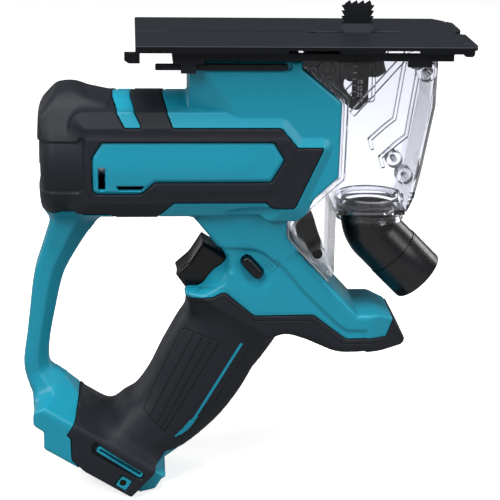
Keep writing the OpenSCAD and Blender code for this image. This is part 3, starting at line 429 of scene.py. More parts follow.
# %% Forms of lower housing, grip and guard bar
HORN_W = 21
SWITCH_AT = (-70, -116)
SWITCH_R = 14
GRIP_POWER = 2.6
lower_area = area(outline([
    (-60, -70), (-34, -80), (-34.5, -96), (3.3, -136), (13, -136, 5), (21.6, -139.4, 4), (28.2, -151.6, 2),
    (26.4, -153.8, 2), (8, -156.4, 60), (-7, -156, 25), (-22, -149, 14), (-33.5, -145, 12),
    (-41.8, -150.4, 6), (-46, -154), (-56, -148), (-79, -136, 6), (-81.4, -123, 2), (-71.5, -123.4, 8),
    (-61.2, -117, 8),
    (-62, -106.2, 2), (-71, -94.1), (-77, -86.6)]))
grip_line = along([
    (-52, -131, 24, 20), (-56, -139.5, 24, 19), (-61.5, -149.5, 23, 18.5), (-66, -156, 22.6, 18.5),
    (-72.4, -168, 22.6, 18.5), (-79.2, -179.5, 21.4, 18.5), (-87.3, -189.5, 19.8, 18.5),
    (-95, -196.5, 18.6, 19.5), (-103, -201.7, 18.2, 22.5), (-112, -206, 15, 27)])
guard_line = along([
    (-131, -80, 17, 13), (-135, -90, 12.5, 11), (-137.8, -96, 9.6, 10), (-144.5, -110.6, 7.4, 10),
    (-148, -120.5, 6.9, 10), (-151, -137.5, 6.1, 10), (-153, -150, 5.7, 10), (-154.5, -162.5, 6, 10),
    (-153, -170.5, 6.6, 10), (-147.5, -178.5, 9.4, 14), (-142, -188, 11, 22)])


def lower_form(x, w, z):
    """Lower housing, with softer edges beside the switch and towards the grip."""
    by_switch = np.exp(-(np.hypot(x - SWITCH_AT[0], z - SWITCH_AT[1]) / SWITCH_R) ** 2)
    soft = 2 + 6 * by_switch + 2 * fade(-z, 134, 144)
    into_grip = np.maximum(4 - beyond(x, 0, z, (-62, 0, -138), (0.528, 0, 0.849)), 0)
    f = edged(lower_area(x, z), (w - HORN_W + 0.6 * into_grip) * 0.95, soft)
    return smooth_max(f, beyond(x, w, 0, (9.5, HORN_W, 0), (0.397, 0.918, 0)), 1.2)


def grip_form(x, w, z):
    offset, (depth, width) = grip_line(x, z)
    r = (np.abs(offset) / depth) ** GRIP_POWER + (np.abs(w) / width) ** GRIP_POWER
    return (r ** (1 / GRIP_POWER) - 1) * np.minimum(depth, width)


def guard_form(x, w, z):
    """Guard bar with a broad chamfer towards the hand and a narrow one outside."""
    offset, (depth, width) = guard_line(x, z)
    f = edged(np.abs(offset) - depth, w - width, 2)
    inner = ((offset - 0.15 * depth) * 6 + (w - width) * 5) / math.hypot(6, 5)
    outer = ((-offset - 0.72 * depth) * 6 + (w - width) * 5) / math.hypot(6, 5)
    return smooth_max(smooth_max(f, inner, 1), outer, 1)


print("half width of the horn:", HORN_W, "mm")

# %% [markdown]
# ## Battery foot
# The foot slopes, so it has its own frame: u runs along its lower face and v across it. Its outline from
# the side and its section from the end are both cut from one block, as from two sides on a milling machine.
# The battery's bay is hollow below, and a hook hangs at the front end.

# %% Form of the foot
FOOT_W = 29
BAY_W = 20
BAY_TOP = 11
BAY_BACK = -143
foot = Slope(-150.5, -202, -32.3)
foot_area = area(outline([
    (-155.4, -182, 4), (-140.5, -175.5), (-118.4, -188.7, 6), foot.point(50, 26.8), foot.point(53, 17, 8),
    foot.point(50, 0), foot.point(0, 0), (-150.4, -192.5, 2), (-155.4, -189, 3)]))
foot_section = area(outline([(-10, 25), (6, 25, 6), (29, 19, 4), (29, 0, 2), (-10, 0)]))
hook_area = area(outline([
    foot.point(42, 1), foot.point(46, 16), foot.point(61, 16), foot.point(59.6, 14, 4),
    foot.point(59.8, 7.5, 2), foot.point(54.4, 2)]))


def foot_form(x, w, z):
    _, v = foot.local(x, z)
    f = smooth_max(edged(foot_area(x, z), w - FOOT_W, 1.5), foot_section(w, v), 1.5)
    hook = edged(hook_area(x, z), w - HORN_W, 1)
    bay = np.maximum(v - BAY_TOP, np.maximum(w - BAY_W, (BAY_BACK - x) * 0.85))
    return np.maximum(np.minimum(f, hook), -bay)


print("half width of the foot:", FOOT_W, "mm")

# %% [markdown]
# ## The whole body
# All forms join with fillets. Then come the dents of the real mould: a lowered end cap, a dish around the
# lock-off button, a lip over the trigger, the crease that sets the grip off, a scoop under the case, and
# the groove of the depth lock. A dent is a small number added to the distance, so that it follows the
# surface.

# %% Body with its dents
BUTTON_HALF = 3.95
BUTTON_HOLE = 3
CAP_DEPTH = 0.9
DISH_DEPTH = 1.4
LIP_HEIGHT = 0.9
CREASE_DEPTH = 0.9
SCOOP_AT = (-54.5, 30, -84.5)
SCOOP_R = 6
GROOVE_W = 25.7
TRIGGER_ROOM_W = 9.9
button = Slope(-49.2, -110.7, -48)
cap_area = area(outline([
    (-165, -47), (-132, -47, 1), (-129, -43, 1), (-129, -69, 2), (-131.5, -71, 1), (-165, -71)]))
lock_groove = area(outline([(-90, -9.9), (-32.8, -9.9, 1.6), (-32.8, -13.3, 1.6), (-90, -13.3)]))
trigger_room = area(outline([
    (-72.8, -101), (-50, -116.5), (-64, -137.6), (-79.6, -127.6), (-90, -117.6), (-79, -111, 10)]))
trigger_lip = trail([(-80.6, -124.8), (-72.2, -125.3), (-63.2, -120), (-60, -114.5)])
crease_area = area(outline([
    (-110, -100.1), (-60.7, -100.1, 8), (-45.1, -101.7, 12), (-33.4, -110.7, 12), (-22.1, -124.2),
    (-6.3, -139.9), (-1.8, -143, 4), (8.7, -143.3), (9, -300), (-110, -300)]))


def button_distance(x, z):
    """Distance in the side view to the middle line of the lock-off button."""
    u, v = button.local(x, z)
    return np.hypot(u - np.clip(u, -BUTTON_HALF, BUTTON_HALF), v)


def joined_form(x, w, z):
    """All forms of the body with the fillets between them."""
    f = smooth_min(barrel_form(x, w, z), bumper_form(x, w, z), 2)
    f = smooth_min(f, np.minimum(case_form(x, w, z), apron_form(x, w, z)), 3)
    f = smooth_min(f, pad_form(x, w, z), 0.6)
    low = smooth_min(lower_form(x, w, z), grip_form(x, w, z), 3)
    low = smooth_min(low, smooth_min(foot_form(x, w, z), guard_form(x, w, z), 4), 5)
    return smooth_min(f, low, 4)


def body_form(x, w, z):
    w = np.abs(w)
    cap = fade(-cap_area(x, z), -0.45, 0.45)
    dish = np.exp(-(np.maximum(button_distance(x, z) - BUTTON_HOLE, 0) / 4.5) ** 2)
    lip = np.exp(-(trigger_lip(x, z) / 1.7) ** 2)
    inner = -crease_area(x, z)
    crease = fade(inner, 0, 1.5) * np.exp(-np.maximum(inner - 2, 0) / 8) * fade(z, -165, -150)
    dents = CAP_DEPTH * cap + DISH_DEPTH * dish - LIP_HEIGHT * lip + CREASE_DEPTH * crease
    f = joined_form(x, w, z) + dents
    ahead = x - SCOOP_AT[0]
    scoop_w = SCOOP_AT[1] + 2 * (ahead / 12.5) ** 2
    f = smooth_max(f, SCOOP_R - np.hypot(w - scoop_w, z - SCOOP_AT[2] - 0.1 * ahead), 0.6)
    f = smooth_max(f, -np.maximum(lock_groove(x, z), GROOVE_W - w), 0.4)
    f = np.maximum(f, -np.maximum(trigger_room(x, z) - 0.4, w - TRIGGER_ROOM_W))
    return np.maximum(f, BUTTON_HOLE - button_distance(x, z))


print("depth inside the barrel's middle:", -body_form(-100.0, 0.0, AXIS_Z), "mm")

# %% [markdown]
# ## Shell and soft rubber
# The housing is moulded twice: first the teal shell, then soft rubber over the barrel and the grip. The
# rubber's edge is an outline in the side view. The shell is the body outside that outline, and the rubber
# is the body inside it, a little raised; the thin gap between them is the line that the eye sees.

# %% Where the rubber lies
sleeve_area = area(outline([
    (-170, -10), (-94.5, -10), (-92.4, -29.2), (-87.6, -40.5), (-87.6, -76.2), (-93.9, -82.4), (-94.5, -100),
    (-114.6, -100), (-115, -85.1), (-117.2, -82.3), (-140.2, -82.3), (-144.4, -84.1), (-170, -84.1)]))
band_area = area(outline([
    (-116.1, -10), (-108.2, -10), (-107.4, -30), (-102, -40.3, 1), (-109.7, -40.6, 1), (-115.9, -30)]))
panel_area = area(outline([
    (-125.2, -53.5, 2), (-120.7, -46.6, 2), (-40.8, -46.6, 2), (-35.6, -55.2, 2), (-41.9, -65.8, 2),
    (-96.2, -65.8, 2), (-102.5, -71.6, 3), (-125.2, -71.6, 3)]))
grip_area = area(outline([
    (-84, -126.8), (-81, -126.8), (-68, -126, 2), (-62.5, -123, 3), (-48, -135.5, 3), (-19, -135.5, 4),
    (-2.5, -148.3, 5), (18, -148.2), (23, -136), (60, -136), (60, -260), (-98, -260), (-133, -212),
    (-137, -207.5), (-137.2, -196.2), (-139.2, -194.5), (-134.8, -187.6), (-131.6, -170)]))
square_area = area(outline([
    (-112.4, -216.2, 0.5), (-107.3, -219.6, 0.5), (-110.7, -225, 0.5), (-116, -221.4, 0.5)]))
hook_side = area(outline([
    (-91.5, -209), (-95.2, -216), (-107, -229.6), (-101, -240), (-60, -240), (-60, -209)]))


def rubber_area(x, z):
    """Signed distance in the side view to the parts that are covered with rubber."""
    sleeve = np.maximum(sleeve_area(x, z), -band_area(x, z))
    barrel = np.maximum(np.minimum(sleeve, pad_area(x, z)), -panel_area(x, z))
    bare = np.minimum(square_area(x, z), hook_side(x, z))
    return np.minimum(barrel, np.maximum(grip_area(x, z), -bare))


print("rubber on the grip:", rubber_area(-75.0, -170.0) < 0)
print("rubber on the panel:", rubber_area(-80.0, -56.0) < 0)

# %% Forms of shell and rubber
RUBBER_GAP = 0.16
RUBBER_RAISE = 0.25
PANEL_SINK = 0.9
PANEL_RAISE = 0.5
LOW_VENT_W = 12
SCREW_HOLE = (-112, 21, -220.3)
SCREW_HOLE_R = 1.7
RECESS_W = 26.8
SLOT_W = 23
slot_vent = area(outline([
    (-122.4, -58.4, 0.4), (-119.2, -58.4, 0.4), (-119.2, -69.5, 0.4), (-122.4, -69.5, 0.4)]))
low_vent = area(outline([
    (-114.5, -67.4, 0.3), (-100.6, -67.4, 0.3), (-102.6, -69.7, 0.3), (-112.8, -69.7, 0.3)]))
recess_area = area(outline([
    (-127.5, -200.6, 1), (-125.6, -197.4, 1), (-101.6, -215.6, 1), (-102.4, -219.2, 1.5),
    (-126.6, -204.6, 1)]))
slot_area = area(outline([
    (-124.8, -202.6, 0.6), (-123, -200.9, 0.6), (-102.1, -214.9, 0.6), (-103.4, -217.4, 0.6)]))


def shell_form(x, w, z):
    """Teal shell: a raised panel with a line around it, two vents and the holes of the hook's screws."""
    w = np.abs(w)
    within = -panel_area(x, z)
    relief = PANEL_SINK * fade(within, -0.3, 0.3) - PANEL_RAISE * fade(within, 0.5, 1.7)
    f = smooth_max(body_form(x, w, z) + relief, RUBBER_GAP - rubber_area(x, z), 0.5)
    f = np.maximum(f, -slot_vent(x, z))
    f = np.maximum(f, -np.maximum(low_vent(x, z), LOW_VENT_W - w))
    hole = np.hypot(x - SCREW_HOLE[0], z - SCREW_HOLE[2]) - SCREW_HOLE_R
    return np.maximum(f, -np.maximum(hole, SCREW_HOLE[1] - w))


def rubber_form(x, w, z):
    """Raised rubber, with the recess and the slot of the hook on the foot."""
    w = np.abs(w)
    f = smooth_max(body_form(x, w, z) - RUBBER_RAISE, rubber_area(x, z) + RUBBER_GAP, 0.8)
    f = np.maximum(f, -np.maximum(recess_area(x, z), RECESS_W - w))
    return np.maximum(f, -np.maximum(slot_area(x, z), SLOT_W - w))


print("gap between shell and rubber:", 2 * RUBBER_GAP, "mm")

# %% [markdown]
# ## Finishes
# Each finish is a small node tree. One class wraps a socket, so that shader sums read like sums, and its
# node method adds any other node. Everything that varies is worked out from Object coordinates, because
# they stay with the piece when it moves. Wear is left out, because the tool is new.

# %% Sums with sockets
class Wire:
    """A shader socket that takes part in sums."""
    def __init__(self, tree, socket):
        self.tree = tree
        self.socket = socket

    def node(self, kind, *inputs, out=0, **settings):
        """Output of a new node, with its settings and then its inputs in order."""
        n = self.tree.nodes.new(kind)
        for key, value in settings.items():
            setattr(n, key, value)
        for i, value in enumerate(inputs):
            if isinstance(value, Wire):
                self.tree.links.new(value.socket, n.inputs[i])
            elif value is not None:
                n.inputs[i].default_value = value
        return Wire(self.tree, n.outputs[out])

    def math(self, operation, *others):
        return self.node("ShaderNodeMath", self, *others, operation=operation)

    def __add__(self, other):
        return self.math("ADD", other)

    def __mul__(self, other):
        return self.math("MULTIPLY", other)

    def __sub__(self, other):
        return self.math("SUBTRACT", other)

    def __rsub__(self, other):
        return self * -1 + other

    __radd__ = __add__
    __rmul__ = __mul__

    def highest(self, *others):
        """The largest of this and others."""
        best = self
        for other in others:
            best = best.math("MAXIMUM", other)
        return best

    def ramp(self, low, high, a=0.0, b=1.0):
        """Value from a to b as this goes from low to high, eased at both ends."""
        return self.node("ShaderNodeMapRange", self, low, high, a, b, interpolation_type="SMOOTHSTEP")


print("operators of a wire: +, - and *")

# %% A finish with one surface
OBJECT_COORDINATES = 3


class Finish:
    """A material with one Principled surface; x, y and z are the place on the piece in millimetres."""
    def __init__(self, name, color, roughness, **fixed):
        self.material = bpy.data.materials.new(name)
        self.material.use_nodes = True
        self.tree = self.material.node_tree
        self.surface = self.tree.nodes["Principled BSDF"]
        self.start = Wire(self.tree, None)
        self.set("Base Color", (*color, 1))
        self.set("Roughness", roughness)
        for key, value in fixed.items():
            self.set(key.replace("_", " "), value)
        self.place = self.start.node("ShaderNodeTexCoord", out=OBJECT_COORDINATES)
        parts = self.start.node("ShaderNodeSeparateXYZ", self.place)
        self.x, self.y, self.z = (Wire(self.tree, s) * (1 / MM) for s in parts.socket.node.outputs)

    def set(self, key, value):
        """Give a socket of the surface a value or a wire."""
        if isinstance(value, Wire):
            self.tree.links.new(value.socket, self.surface.inputs[key])
        else:
            self.surface.inputs[key].default_value = value

    def noise(self, scale, detail=2.0):
        return self.start.node("ShaderNodeTexNoise", self.place, None, scale, detail)

    def bump(self, height, strength, distance):
        n = self.start.node("ShaderNodeBump", strength, distance)
        self.tree.links.new(height.socket, n.socket.node.inputs["Height"])
        self.set("Normal", n)

    def mix(self, share, a, b):
        """Colour a where share is 0 and colour b where it is 1."""
        n = self.start.node("ShaderNodeMix", share, data_type="RGBA").socket.node
        for key, value in (("A_Color", a), ("B_Color", b)):
            socket = next(s for s in n.inputs if s.identifier == key)
            if isinstance(value, Wire):
                self.tree.links.new(value.socket, socket)
            else:
                socket.default_value = (*value, 1)
        return Wire(self.tree, next(s for s in n.outputs if s.identifier == "Result_Color"))

    def line(self, points, width, core=0.4):
        """1 on a line through points in the side view, 0 beside it; core is the share with the full value."""
        best = None
        for (ax, az), (bx, bz) in zip(points, points[1:]):
            ex = bx - ax
            ez = bz - az
            t = ((self.x - ax) * ex + (self.z - az) * ez) * (1 / (ex * ex + ez * ez))
            t = t.math("MAXIMUM", 0).math("MINIMUM", 1)
            gx = self.x - ax - t * ex
            gz = self.z - az - t * ez
            gap = (gx * gx + gz * gz).math("SQRT")
            best = gap if best is None else best.math("MINIMUM", gap)
        return best.ramp(width * core, width, 1.0, 0.0)


def srgb(*screen):
    """Linear colour from screen values."""
    return tuple((v / 255 / 12.92) if v <= 10 else ((v / 255 + 0.055) / 1.055) ** 2.4 for v in screen)


print("half grey on the screen is", round(srgb(128)[0], 3), "in light")

# %% [markdown]
# ## Plastics and metals
# Moulded plastic has a fine grain from its mould, and turned or sheet metal has one from its tool. Both are
# far smaller than the mesh, so they are a bump from noise, which changes the roughness a little too. Two
# functions make all the plain finishes, and a painted steel counts as a plastic, because paint is one.

# %% Plain finishes
TEAL = srgb(20, 129, 152)
RUBBER = srgb(25, 28, 34)
PLATE = srgb(24, 27, 33)


def plastic(name, color, roughness, grain=0.5, shine=0.2):
    f = Finish(name, color, roughness, Specular_IOR_Level=shine)
    fine = f.noise(1500)
    f.set("Roughness", fine.ramp(0.3, 0.7, roughness - 0.04, roughness + 0.06))
    f.bump(fine, grain, 0.04 * MM)
    return f


def metal(name, color, roughness):
    f = Finish(name, color, roughness, Metallic=1.0)
    fine = f.noise(900)
    f.set("Roughness", fine.ramp(0.3, 0.7, roughness - 0.05, roughness + 0.08))
    f.bump(fine, 0.15, 0.03 * MM)
    return f


black = plastic("black_plastic", srgb(13, 15, 18), 0.3, 0.25, 0.3)
gloss = plastic("gloss_black", srgb(6, 7, 10), 0.22, 0.1, 0.32)
satin = plastic("satin_black", srgb(7, 9, 13), 0.3, 0.08, 0.5)
steel_black = plastic("black_steel", srgb(22, 24, 29), 0.42, 0.6)
# Black for the seal ring and the scale strip; as the discs of the screw wells and the inserts' holes it is
# painted shade.
dark = plastic("black_and_painted_shade", srgb(8, 8, 9), 0.6)
white_ink = plastic("white_ink", srgb(225, 226, 230), 0.5)
ferrite = plastic("ferrite", srgb(52, 52, 56), 0.7)
bright = metal("bright_steel", srgb(190, 193, 198), 0.3)
copper = metal("copper", srgb(196, 120, 80), 0.35)
bronze = metal("bronze", srgb(190, 152, 90), 0.35)
print("plain finishes:", len(bpy.data.materials))

# %% [markdown]
# ## Teal plastic
# The shell bears a padlock sign beside the lock-off button, a groove along the rubber's edge, and the seam
# of its two halves. They are shallow and narrow, so they are darker lines, measured from the place on the
# piece: the seam is a dark joint, and the sign and the groove get painted shade for their depth.

# %% Teal with its marks
PADLOCK = [(-43.1, -110), (-39.7, -113.5), (-36.7, -110.7), (-40.1, -107.2), (-43.1, -110)]
SHACKLE = [(-39.4, -107.8), (-38.3, -106.7), (-36.9, -106.7), (-36, -107.8), (-36.2, -109.2), (-37.3, -110.2)]
KEYHOLE = [(-40.3, -109.7), (-39.5, -110.6)]
EDGE_GROOVE = [(-79.1, -124.4), (-67.1, -121.6), (-62.9, -121.1), (-56.1, -126.7), (-48.4, -133.9),
               (-20, -134.2), (-15, -137.4), (-3, -146.9)]
teal = plastic("teal_plastic", TEAL, 0.38, 0.35, 0.3)
sign = teal.line(PADLOCK, 0.3).highest(teal.line(SHACKLE, 0.3), teal.line(KEYHOLE, 0.5))
seam = teal.y.math("ABSOLUTE").ramp(0.05, 0.2, 1.0, 0.0)
# Painted shade in the padlock sign and the edge groove, with the seam's own dark joint, in one mask.
shade = (seam * 0.6).highest(sign * 0.5, teal.line(EDGE_GROOVE, 0.25) * 0.4)
teal.set("Base Color", teal.mix(shade, TEAL, srgb(4, 60, 74)))
print("teal plastic:", len(teal.tree.nodes), "nodes")

# %% [markdown]
# ## Painted blade and plate
# The blade's tip is painted darker than its shank. The plate is one sheet with a crease along its middle,
# drawn darker as painted shade, a paler line of painted highlight along its rounded upper edge, and dark
# flanks of painted shade. All of them follow the height or the distance from the middle, so a ramp on one
# coordinate is enough.

# %% Blade and plate
blade_steel = plastic("blade_steel", srgb(30, 32, 37), 0.34, 0.4, 0.3)
tip = blade_steel.z.ramp(3.5, 4.5)
blade_steel.set("Base Color", blade_steel.mix(tip, srgb(52, 55, 61), srgb(16, 18, 22)))

plate_paint = plastic("plate_paint", PLATE, 0.5, 0.6, 0.15)
half = plate_paint.x.ramp(-93, -89, 1.4, 0.55)
# Painted shade in the crease along the middle of the plate.
crease = (plate_paint.y.math("ABSOLUTE") - half).ramp(0.0, 0.35, 1.0, 0.0)
crease = crease * plate_paint.x.ramp(-24.4, -24, 1.0, 0.0)
# Painted highlight along the plate's rounded upper edge.
rim = plate_paint.z.ramp(-0.12, -0.02, 1.0, 0.0)
# Painted shade on the flanks, which face away from the light.
flank_shade = plate_paint.z.ramp(-0.6, -0.35, 1.0, 0.0)
paint = plate_paint.mix(crease * 0.9, PLATE, srgb(7, 8, 10))
paint = plate_paint.mix(rim, paint, srgb(66, 69, 76))
plate_paint.set("Base Color", plate_paint.mix(flank_shade, paint, srgb(8, 10, 14)))
print("plate paint:", len(plate_paint.tree.nodes), "nodes")

# %% [markdown]
# ## Clear plastic
# Polycarbonate lets light through and bends it. Where the cover's lobe lies over the case, two clear walls
# would swallow most of the light, so the lobe is half transparent as well.

# %% Clear
LOBE_FRONT = (-11, -9)
LOBE_TOP = (-67, -64)
LOBE_ALPHA = 0.5
clear = Finish("clear_plastic", (0.85, 0.857, 0.91), 0.03, Transmission_Weight=1.0, IOR=1.45,
               Specular_IOR_Level=0.25)
clear.set("Roughness", clear.noise(60).ramp(0.3, 0.7, 0.02, 0.05))
lobe = clear.x.ramp(*LOBE_FRONT, LOBE_ALPHA, 1.0).highest(clear.z.ramp(*LOBE_TOP, LOBE_ALPHA, 1.0))
clear.set("Alpha", lobe)
print("clear plastic:", len(clear.tree.nodes), "nodes")

# %% [markdown]
# ## Soft rubber
# The grip's rubber has a framed panel with ribs, moulded lines near its edge, a rough patch under the
# finger, and a teal stripe where the shell shows through. The lines are grooves of half a millimetre, so
# they are a bump with a darker floor of painted shade, and the stripe is a row of strokes of different
# widths.

# %% Rubber with moulded lines
GRIP_PANEL = [
    (-83.4, -146.4), (-81, -144.4), (-64.2, -149.6), (-91.2, -197.2), (-101.6, -185.6), (-83.4, -146.4)]
GRIP_RIBS = [
    [(-76.8, -145.7), (-98.4, -188.9)],
    [(-72.6, -147), (-95, -193)],
    [(-68.4, -148.3), (-92.8, -195.2)]]
EDGE_LINES = [
    [(-48.9, -151.3), (-58.8, -169.1), (-66.4, -182.3), (-69.8, -183.6), (-74.9, -189.4), (-74.6, -193.2),
     (-80, -199)],
    [(-47, -138.2), (-62, -126.6), (-68, -128.4), (-81, -129.4)],
    [(-48, -137.8), (-20, -138.2), (-4, -150.6), (18, -150.6)]]
STRIPE = [(-53.8, -151.2), (-75.8, -189.5)]
STRIPE_END = [
    ((-75.6, -189.8), (-79.4, -195), 1),
    ((-77.8, -192.6), (-80.8, -196.4), 1.5),
    ((-80.8, -196.4), (-83.4, -198.5), 1.2),
    ((-83, -198.2), (-85.6, -199.9), 0.6)]
ROUGH_AT = (-60, -139)
rubber = plastic("soft_rubber", RUBBER, 0.55)
lines = rubber.line(GRIP_PANEL, 0.5)
lines = lines.highest(*[rubber.line(rib, 0.45) for rib in GRIP_RIBS])
lines = lines.highest(*[rubber.line(edge, 0.4) for edge in EDGE_LINES])
away_x = rubber.x - ROUGH_AT[0]
away_z = rubber.z - ROUGH_AT[1]
patch = (away_x * away_x + away_z * away_z).math("SQRT").ramp(8, 12, 1.0, 0.0)
height = rubber.noise(1300) * 0.25 + rubber.noise(700, 1.0) * patch * 0.9 - lines * 2.5
rubber.bump(height, 0.5, 0.25 * MM)
stripe = rubber.line(STRIPE, 0.75, 0.8)
stripe = stripe.highest(*[rubber.line([a, b], width, 0.85) for a, b, width in STRIPE_END])
# The grooves' darker floor is painted shade; the teal stripe is the shell's own colour.
rubber.set("Base Color", rubber.mix(stripe, rubber.mix(lines, RUBBER, srgb(16, 16, 19)), TEAL))
print("finishes ready:", len(bpy.data.materials))

# %% [markdown]
# ## Pieces
# A piece is a mesh in metres that rides on the CAD body it belongs to and, where it stands for CAD nodes,
# hides them. One helper does that for every mesh and shades it smooth, with crisp edges above an angle.

# %% Piece helpers
CRISP = 35


def adopt(name, mesh, finish, body, nodes=(), crisp=CRISP):
    """Make a mesh a finished piece; a CAD copy loses the normals that were stored for its old shape."""
    old_normals = mesh.attributes.get("custom_normal")
    if old_normals:
        mesh.attributes.remove(old_normals)
    mesh.update()
    mesh.shade_smooth()
    mesh.set_sharp_from_angle(angle=math.radians(crisp))
    mesh.materials.clear()
    mesh.materials.append(finish.material)
    obj = bpy.data.objects.new(name, mesh)
    bpy.context.scene.collection.objects.link(obj)
    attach(obj, body)
    if nodes:
        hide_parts(*nodes)
    print(name, len(mesh.polygons), "faces")


def piece(name, points, faces, finish, body, nodes=(), crisp=CRISP):
    """Piece from points in millimetres."""
    mesh = bpy.data.meshes.new(name)
    mesh.from_pydata((np.asarray(points) * MM).tolist(), [], [list(map(int, f)) for f in faces])
    adopt(name, mesh, finish, body, nodes, crisp)


def both_sides(name, points, faces, finish, body, node=""):
    """A piece on the near half, at -Y, and its mirror image on the far half."""
    for side, sign in (("left", -1), ("right", 1)):
        turned = faces if sign > 0 else faces[:, ::-1]
        nodes = [node + "_" + side] if node else []
        piece(name + "_" + side, points * [1, sign, 1], turned, finish, body, nodes)


def from_bmesh(name, bm):
    """Plain mesh from a bmesh, which is freed."""
    mesh = bpy.data.meshes.new(name)
    bm.to_mesh(mesh)
    bm.free()
    return mesh


print("edges above", CRISP, "degrees stay crisp")

# %% Shell and rubber
CELL = 0.6
SKIN = 3
SPLIT_Z = -100


def visible(points, faces):
    """The part of a mesh that lies close under the body's skin."""
    faces = faces[body_form(*points[faces].mean(1).T) > -SKIN]
    used = np.unique(faces)
    index = np.zeros(len(points), int)
    index[used] = np.arange(len(used))
    return points[used], index[faces]


points, faces = visible(*surface(shell_form, (-162, -0.1, -231), (32, 31.5, -6), CELL))
both_sides("shell", points, faces, teal, "housing", "housing")
points, faces = visible(*surface(rubber_form, (-153, -0.1, -231), (32, 32, -22), CELL))
upper = points[faces].mean(1)[:, 2] > SPLIT_Z
both_sides("barrel_cover", points, faces[upper], rubber, "housing", "barrel_rubber")
both_sides("grip_cover", points, faces[~upper], rubber, "housing", "grip_rubber")

# %% [markdown]
# ## Clear dust cover
# The cover is moulded in clear polycarbonate, so that the saw's user sees the blade and the dust. Light
# shows only its edges, and so the edges matter: a rim against the case, ribs on the side walls, screw
# bosses, the frame of the depth window and the rings of the outlet. The CAD has them all, with flat walls
# that bend light cleanly. The script takes a copy and only planes off the two front corners, one flat cut
# for each straight piece of the front. Every cut is closed again, because a ray of light has to know when
# it is inside the plastic.

# %% Cover with a chamfered front
COVER_W = 21
COVER_CHAMFER = 3.4
COVER_CRISP = 20
FRONT_LINE = [(36.4, -9.7), (36.2, -32), (31, -64), (28.2, -77)]


def plane_off(bm, at, way):
    """Cut off what lies beyond a plane and close the cut."""
    everything = bm.verts[:] + bm.edges[:] + bm.faces[:]
    cut = bmesh.ops.bisect_plane(
        bm, geom=everything, dist=0.0005 * MM, plane_co=at, plane_no=way, clear_outer=True)
    edges = [e for e in cut["geom_cut"] if isinstance(e, bmesh.types.BMEdge) and len(e.link_faces) == 1]
    bmesh.ops.triangle_fill(bm, use_beauty=True, edges=edges, normal=way)


cover = bmesh.new()
cover.from_mesh(frame["nodes"]["dust_cover"].data)
bmesh.ops.remove_doubles(cover, verts=cover.verts, dist=0.005 * MM)
for hand in (-1, 1):
    for (ax, az), (bx, bz) in zip(FRONT_LINE, FRONT_LINE[1:]):
        ahead = Vector((az - bz, 0, bx - ax)).normalized()
        cut_at = Vector((ax, hand * COVER_W, az)) - COVER_CHAMFER * ahead
        plane_off(cover, cut_at * MM, (ahead + Vector((0, hand, 0))).normalized())
bmesh.ops.recalc_face_normals(cover, faces=cover.faces)
print("open edges of the clear cover:", sum(len(e.link_faces) != 2 for e in cover.edges))
mesh = from_bmesh("clear_cover", cover)
adopt("clear_cover", mesh, clear, "dust_cover", ["dust_cover"], COVER_CRISP)

# %% [markdown]
# ## Beads of the cover
# Two thin beads run along the rim that lies on the case, and a ring stands around each end of the latch's
# pin. A bead follows the cover's outline at a set distance, so it is cut from the outline's distance
# function.

# %% Beads along the rim
LATCH_AT = (-18, -103.7)
LATCH_RING_R = 3.7
RING_HALF = 0.6
RIM_FACE = 22.82
BEAD_H = 0.9
BEAD_HALF = 0.4
BEADS = (0.7, 2.6)
FINE = 0.25
cover_area = area(outline([
    (-27.9, -9.7), (36.4, -9.7, 2), (36.2, -32), (31, -64), (28.2, -77, 3), (24, -84.5, 2), (-9.6, -84.5),
    (-9.6, -113.5, 1), (-12.6, -117.6), (-28.4, -100.6, 4), (-33, -95, 4), (-33, -87.2, 4), (-9.2, -65),
    (-8.8, -28.4), (-27.9, -12.5)]))
rim_line = trail([
    (-27.9, -10), (-27.9, -12.5), (-8.8, -28.4), (-9.2, -65), (-33, -87.2), (-33, -95), (-28.4, -100.6),
    (-14, -116)])


def latch_distance(x, z):
    """Distance in the side view from the axis of the latch."""
    return np.hypot(x - LATCH_AT[0], z - LATCH_AT[1])


def bead_form(x, w, z):
    f = np.abs(latch_distance(x, z) - LATCH_RING_R) - RING_HALF
    for inset in BEADS:
        bead = np.abs(cover_area(x, z) + inset) - BEAD_HALF
        f = np.minimum(f, np.maximum(bead, rim_line(x, z) - inset - 1.5))
    return edged(f, np.abs(w - RIM_FACE - BEAD_H / 2) - BEAD_H / 2, 0.3)


points, faces = surface(bead_form, (-35, 22, -119), (2, 24.5, -9), FINE)
both_sides("rim_beads", points, faces, clear, "dust_cover")

# %% [markdown]
# ## Elbow nozzle
# The nozzle is a tube bent by 45 degrees, and so it is swept: a ring of points is carried along the centre
# line, outwards on the outer skin and back on the inner one. A curve with a bevel could not change its
# radius in small steps. The ring halfway down is the mould's parting step.

# %% Sweep along the nozzle
OUTLET_X = 9.5
COLLAR_TOP = -80
COLLAR_LOW = -91
NOZZLE_R = 14.2
BEND_R = NOZZLE_R + 2
BEND_TOP = COLLAR_LOW + 1
BEND = math.radians(45)
NECK = COLLAR_TOP - BEND_TOP
ARC = BEND_R * BEND


def nozzle_line(s):
    """Place and direction on the nozzle's centre line, s millimetres below the top of the collar."""
    if s < NECK:
        return (OUTLET_X, COLLAR_TOP - s), (0, -1)
    turn = min((s - NECK) / BEND_R, BEND)
    way = (math.sin(turn), -math.cos(turn))
    rest = max(s - NECK - ARC, 0)
    x = OUTLET_X + BEND_R * (1 - math.cos(turn)) + way[0] * rest
    z = BEND_TOP - BEND_R * math.sin(turn) + way[1] * rest
    return (x, z), way


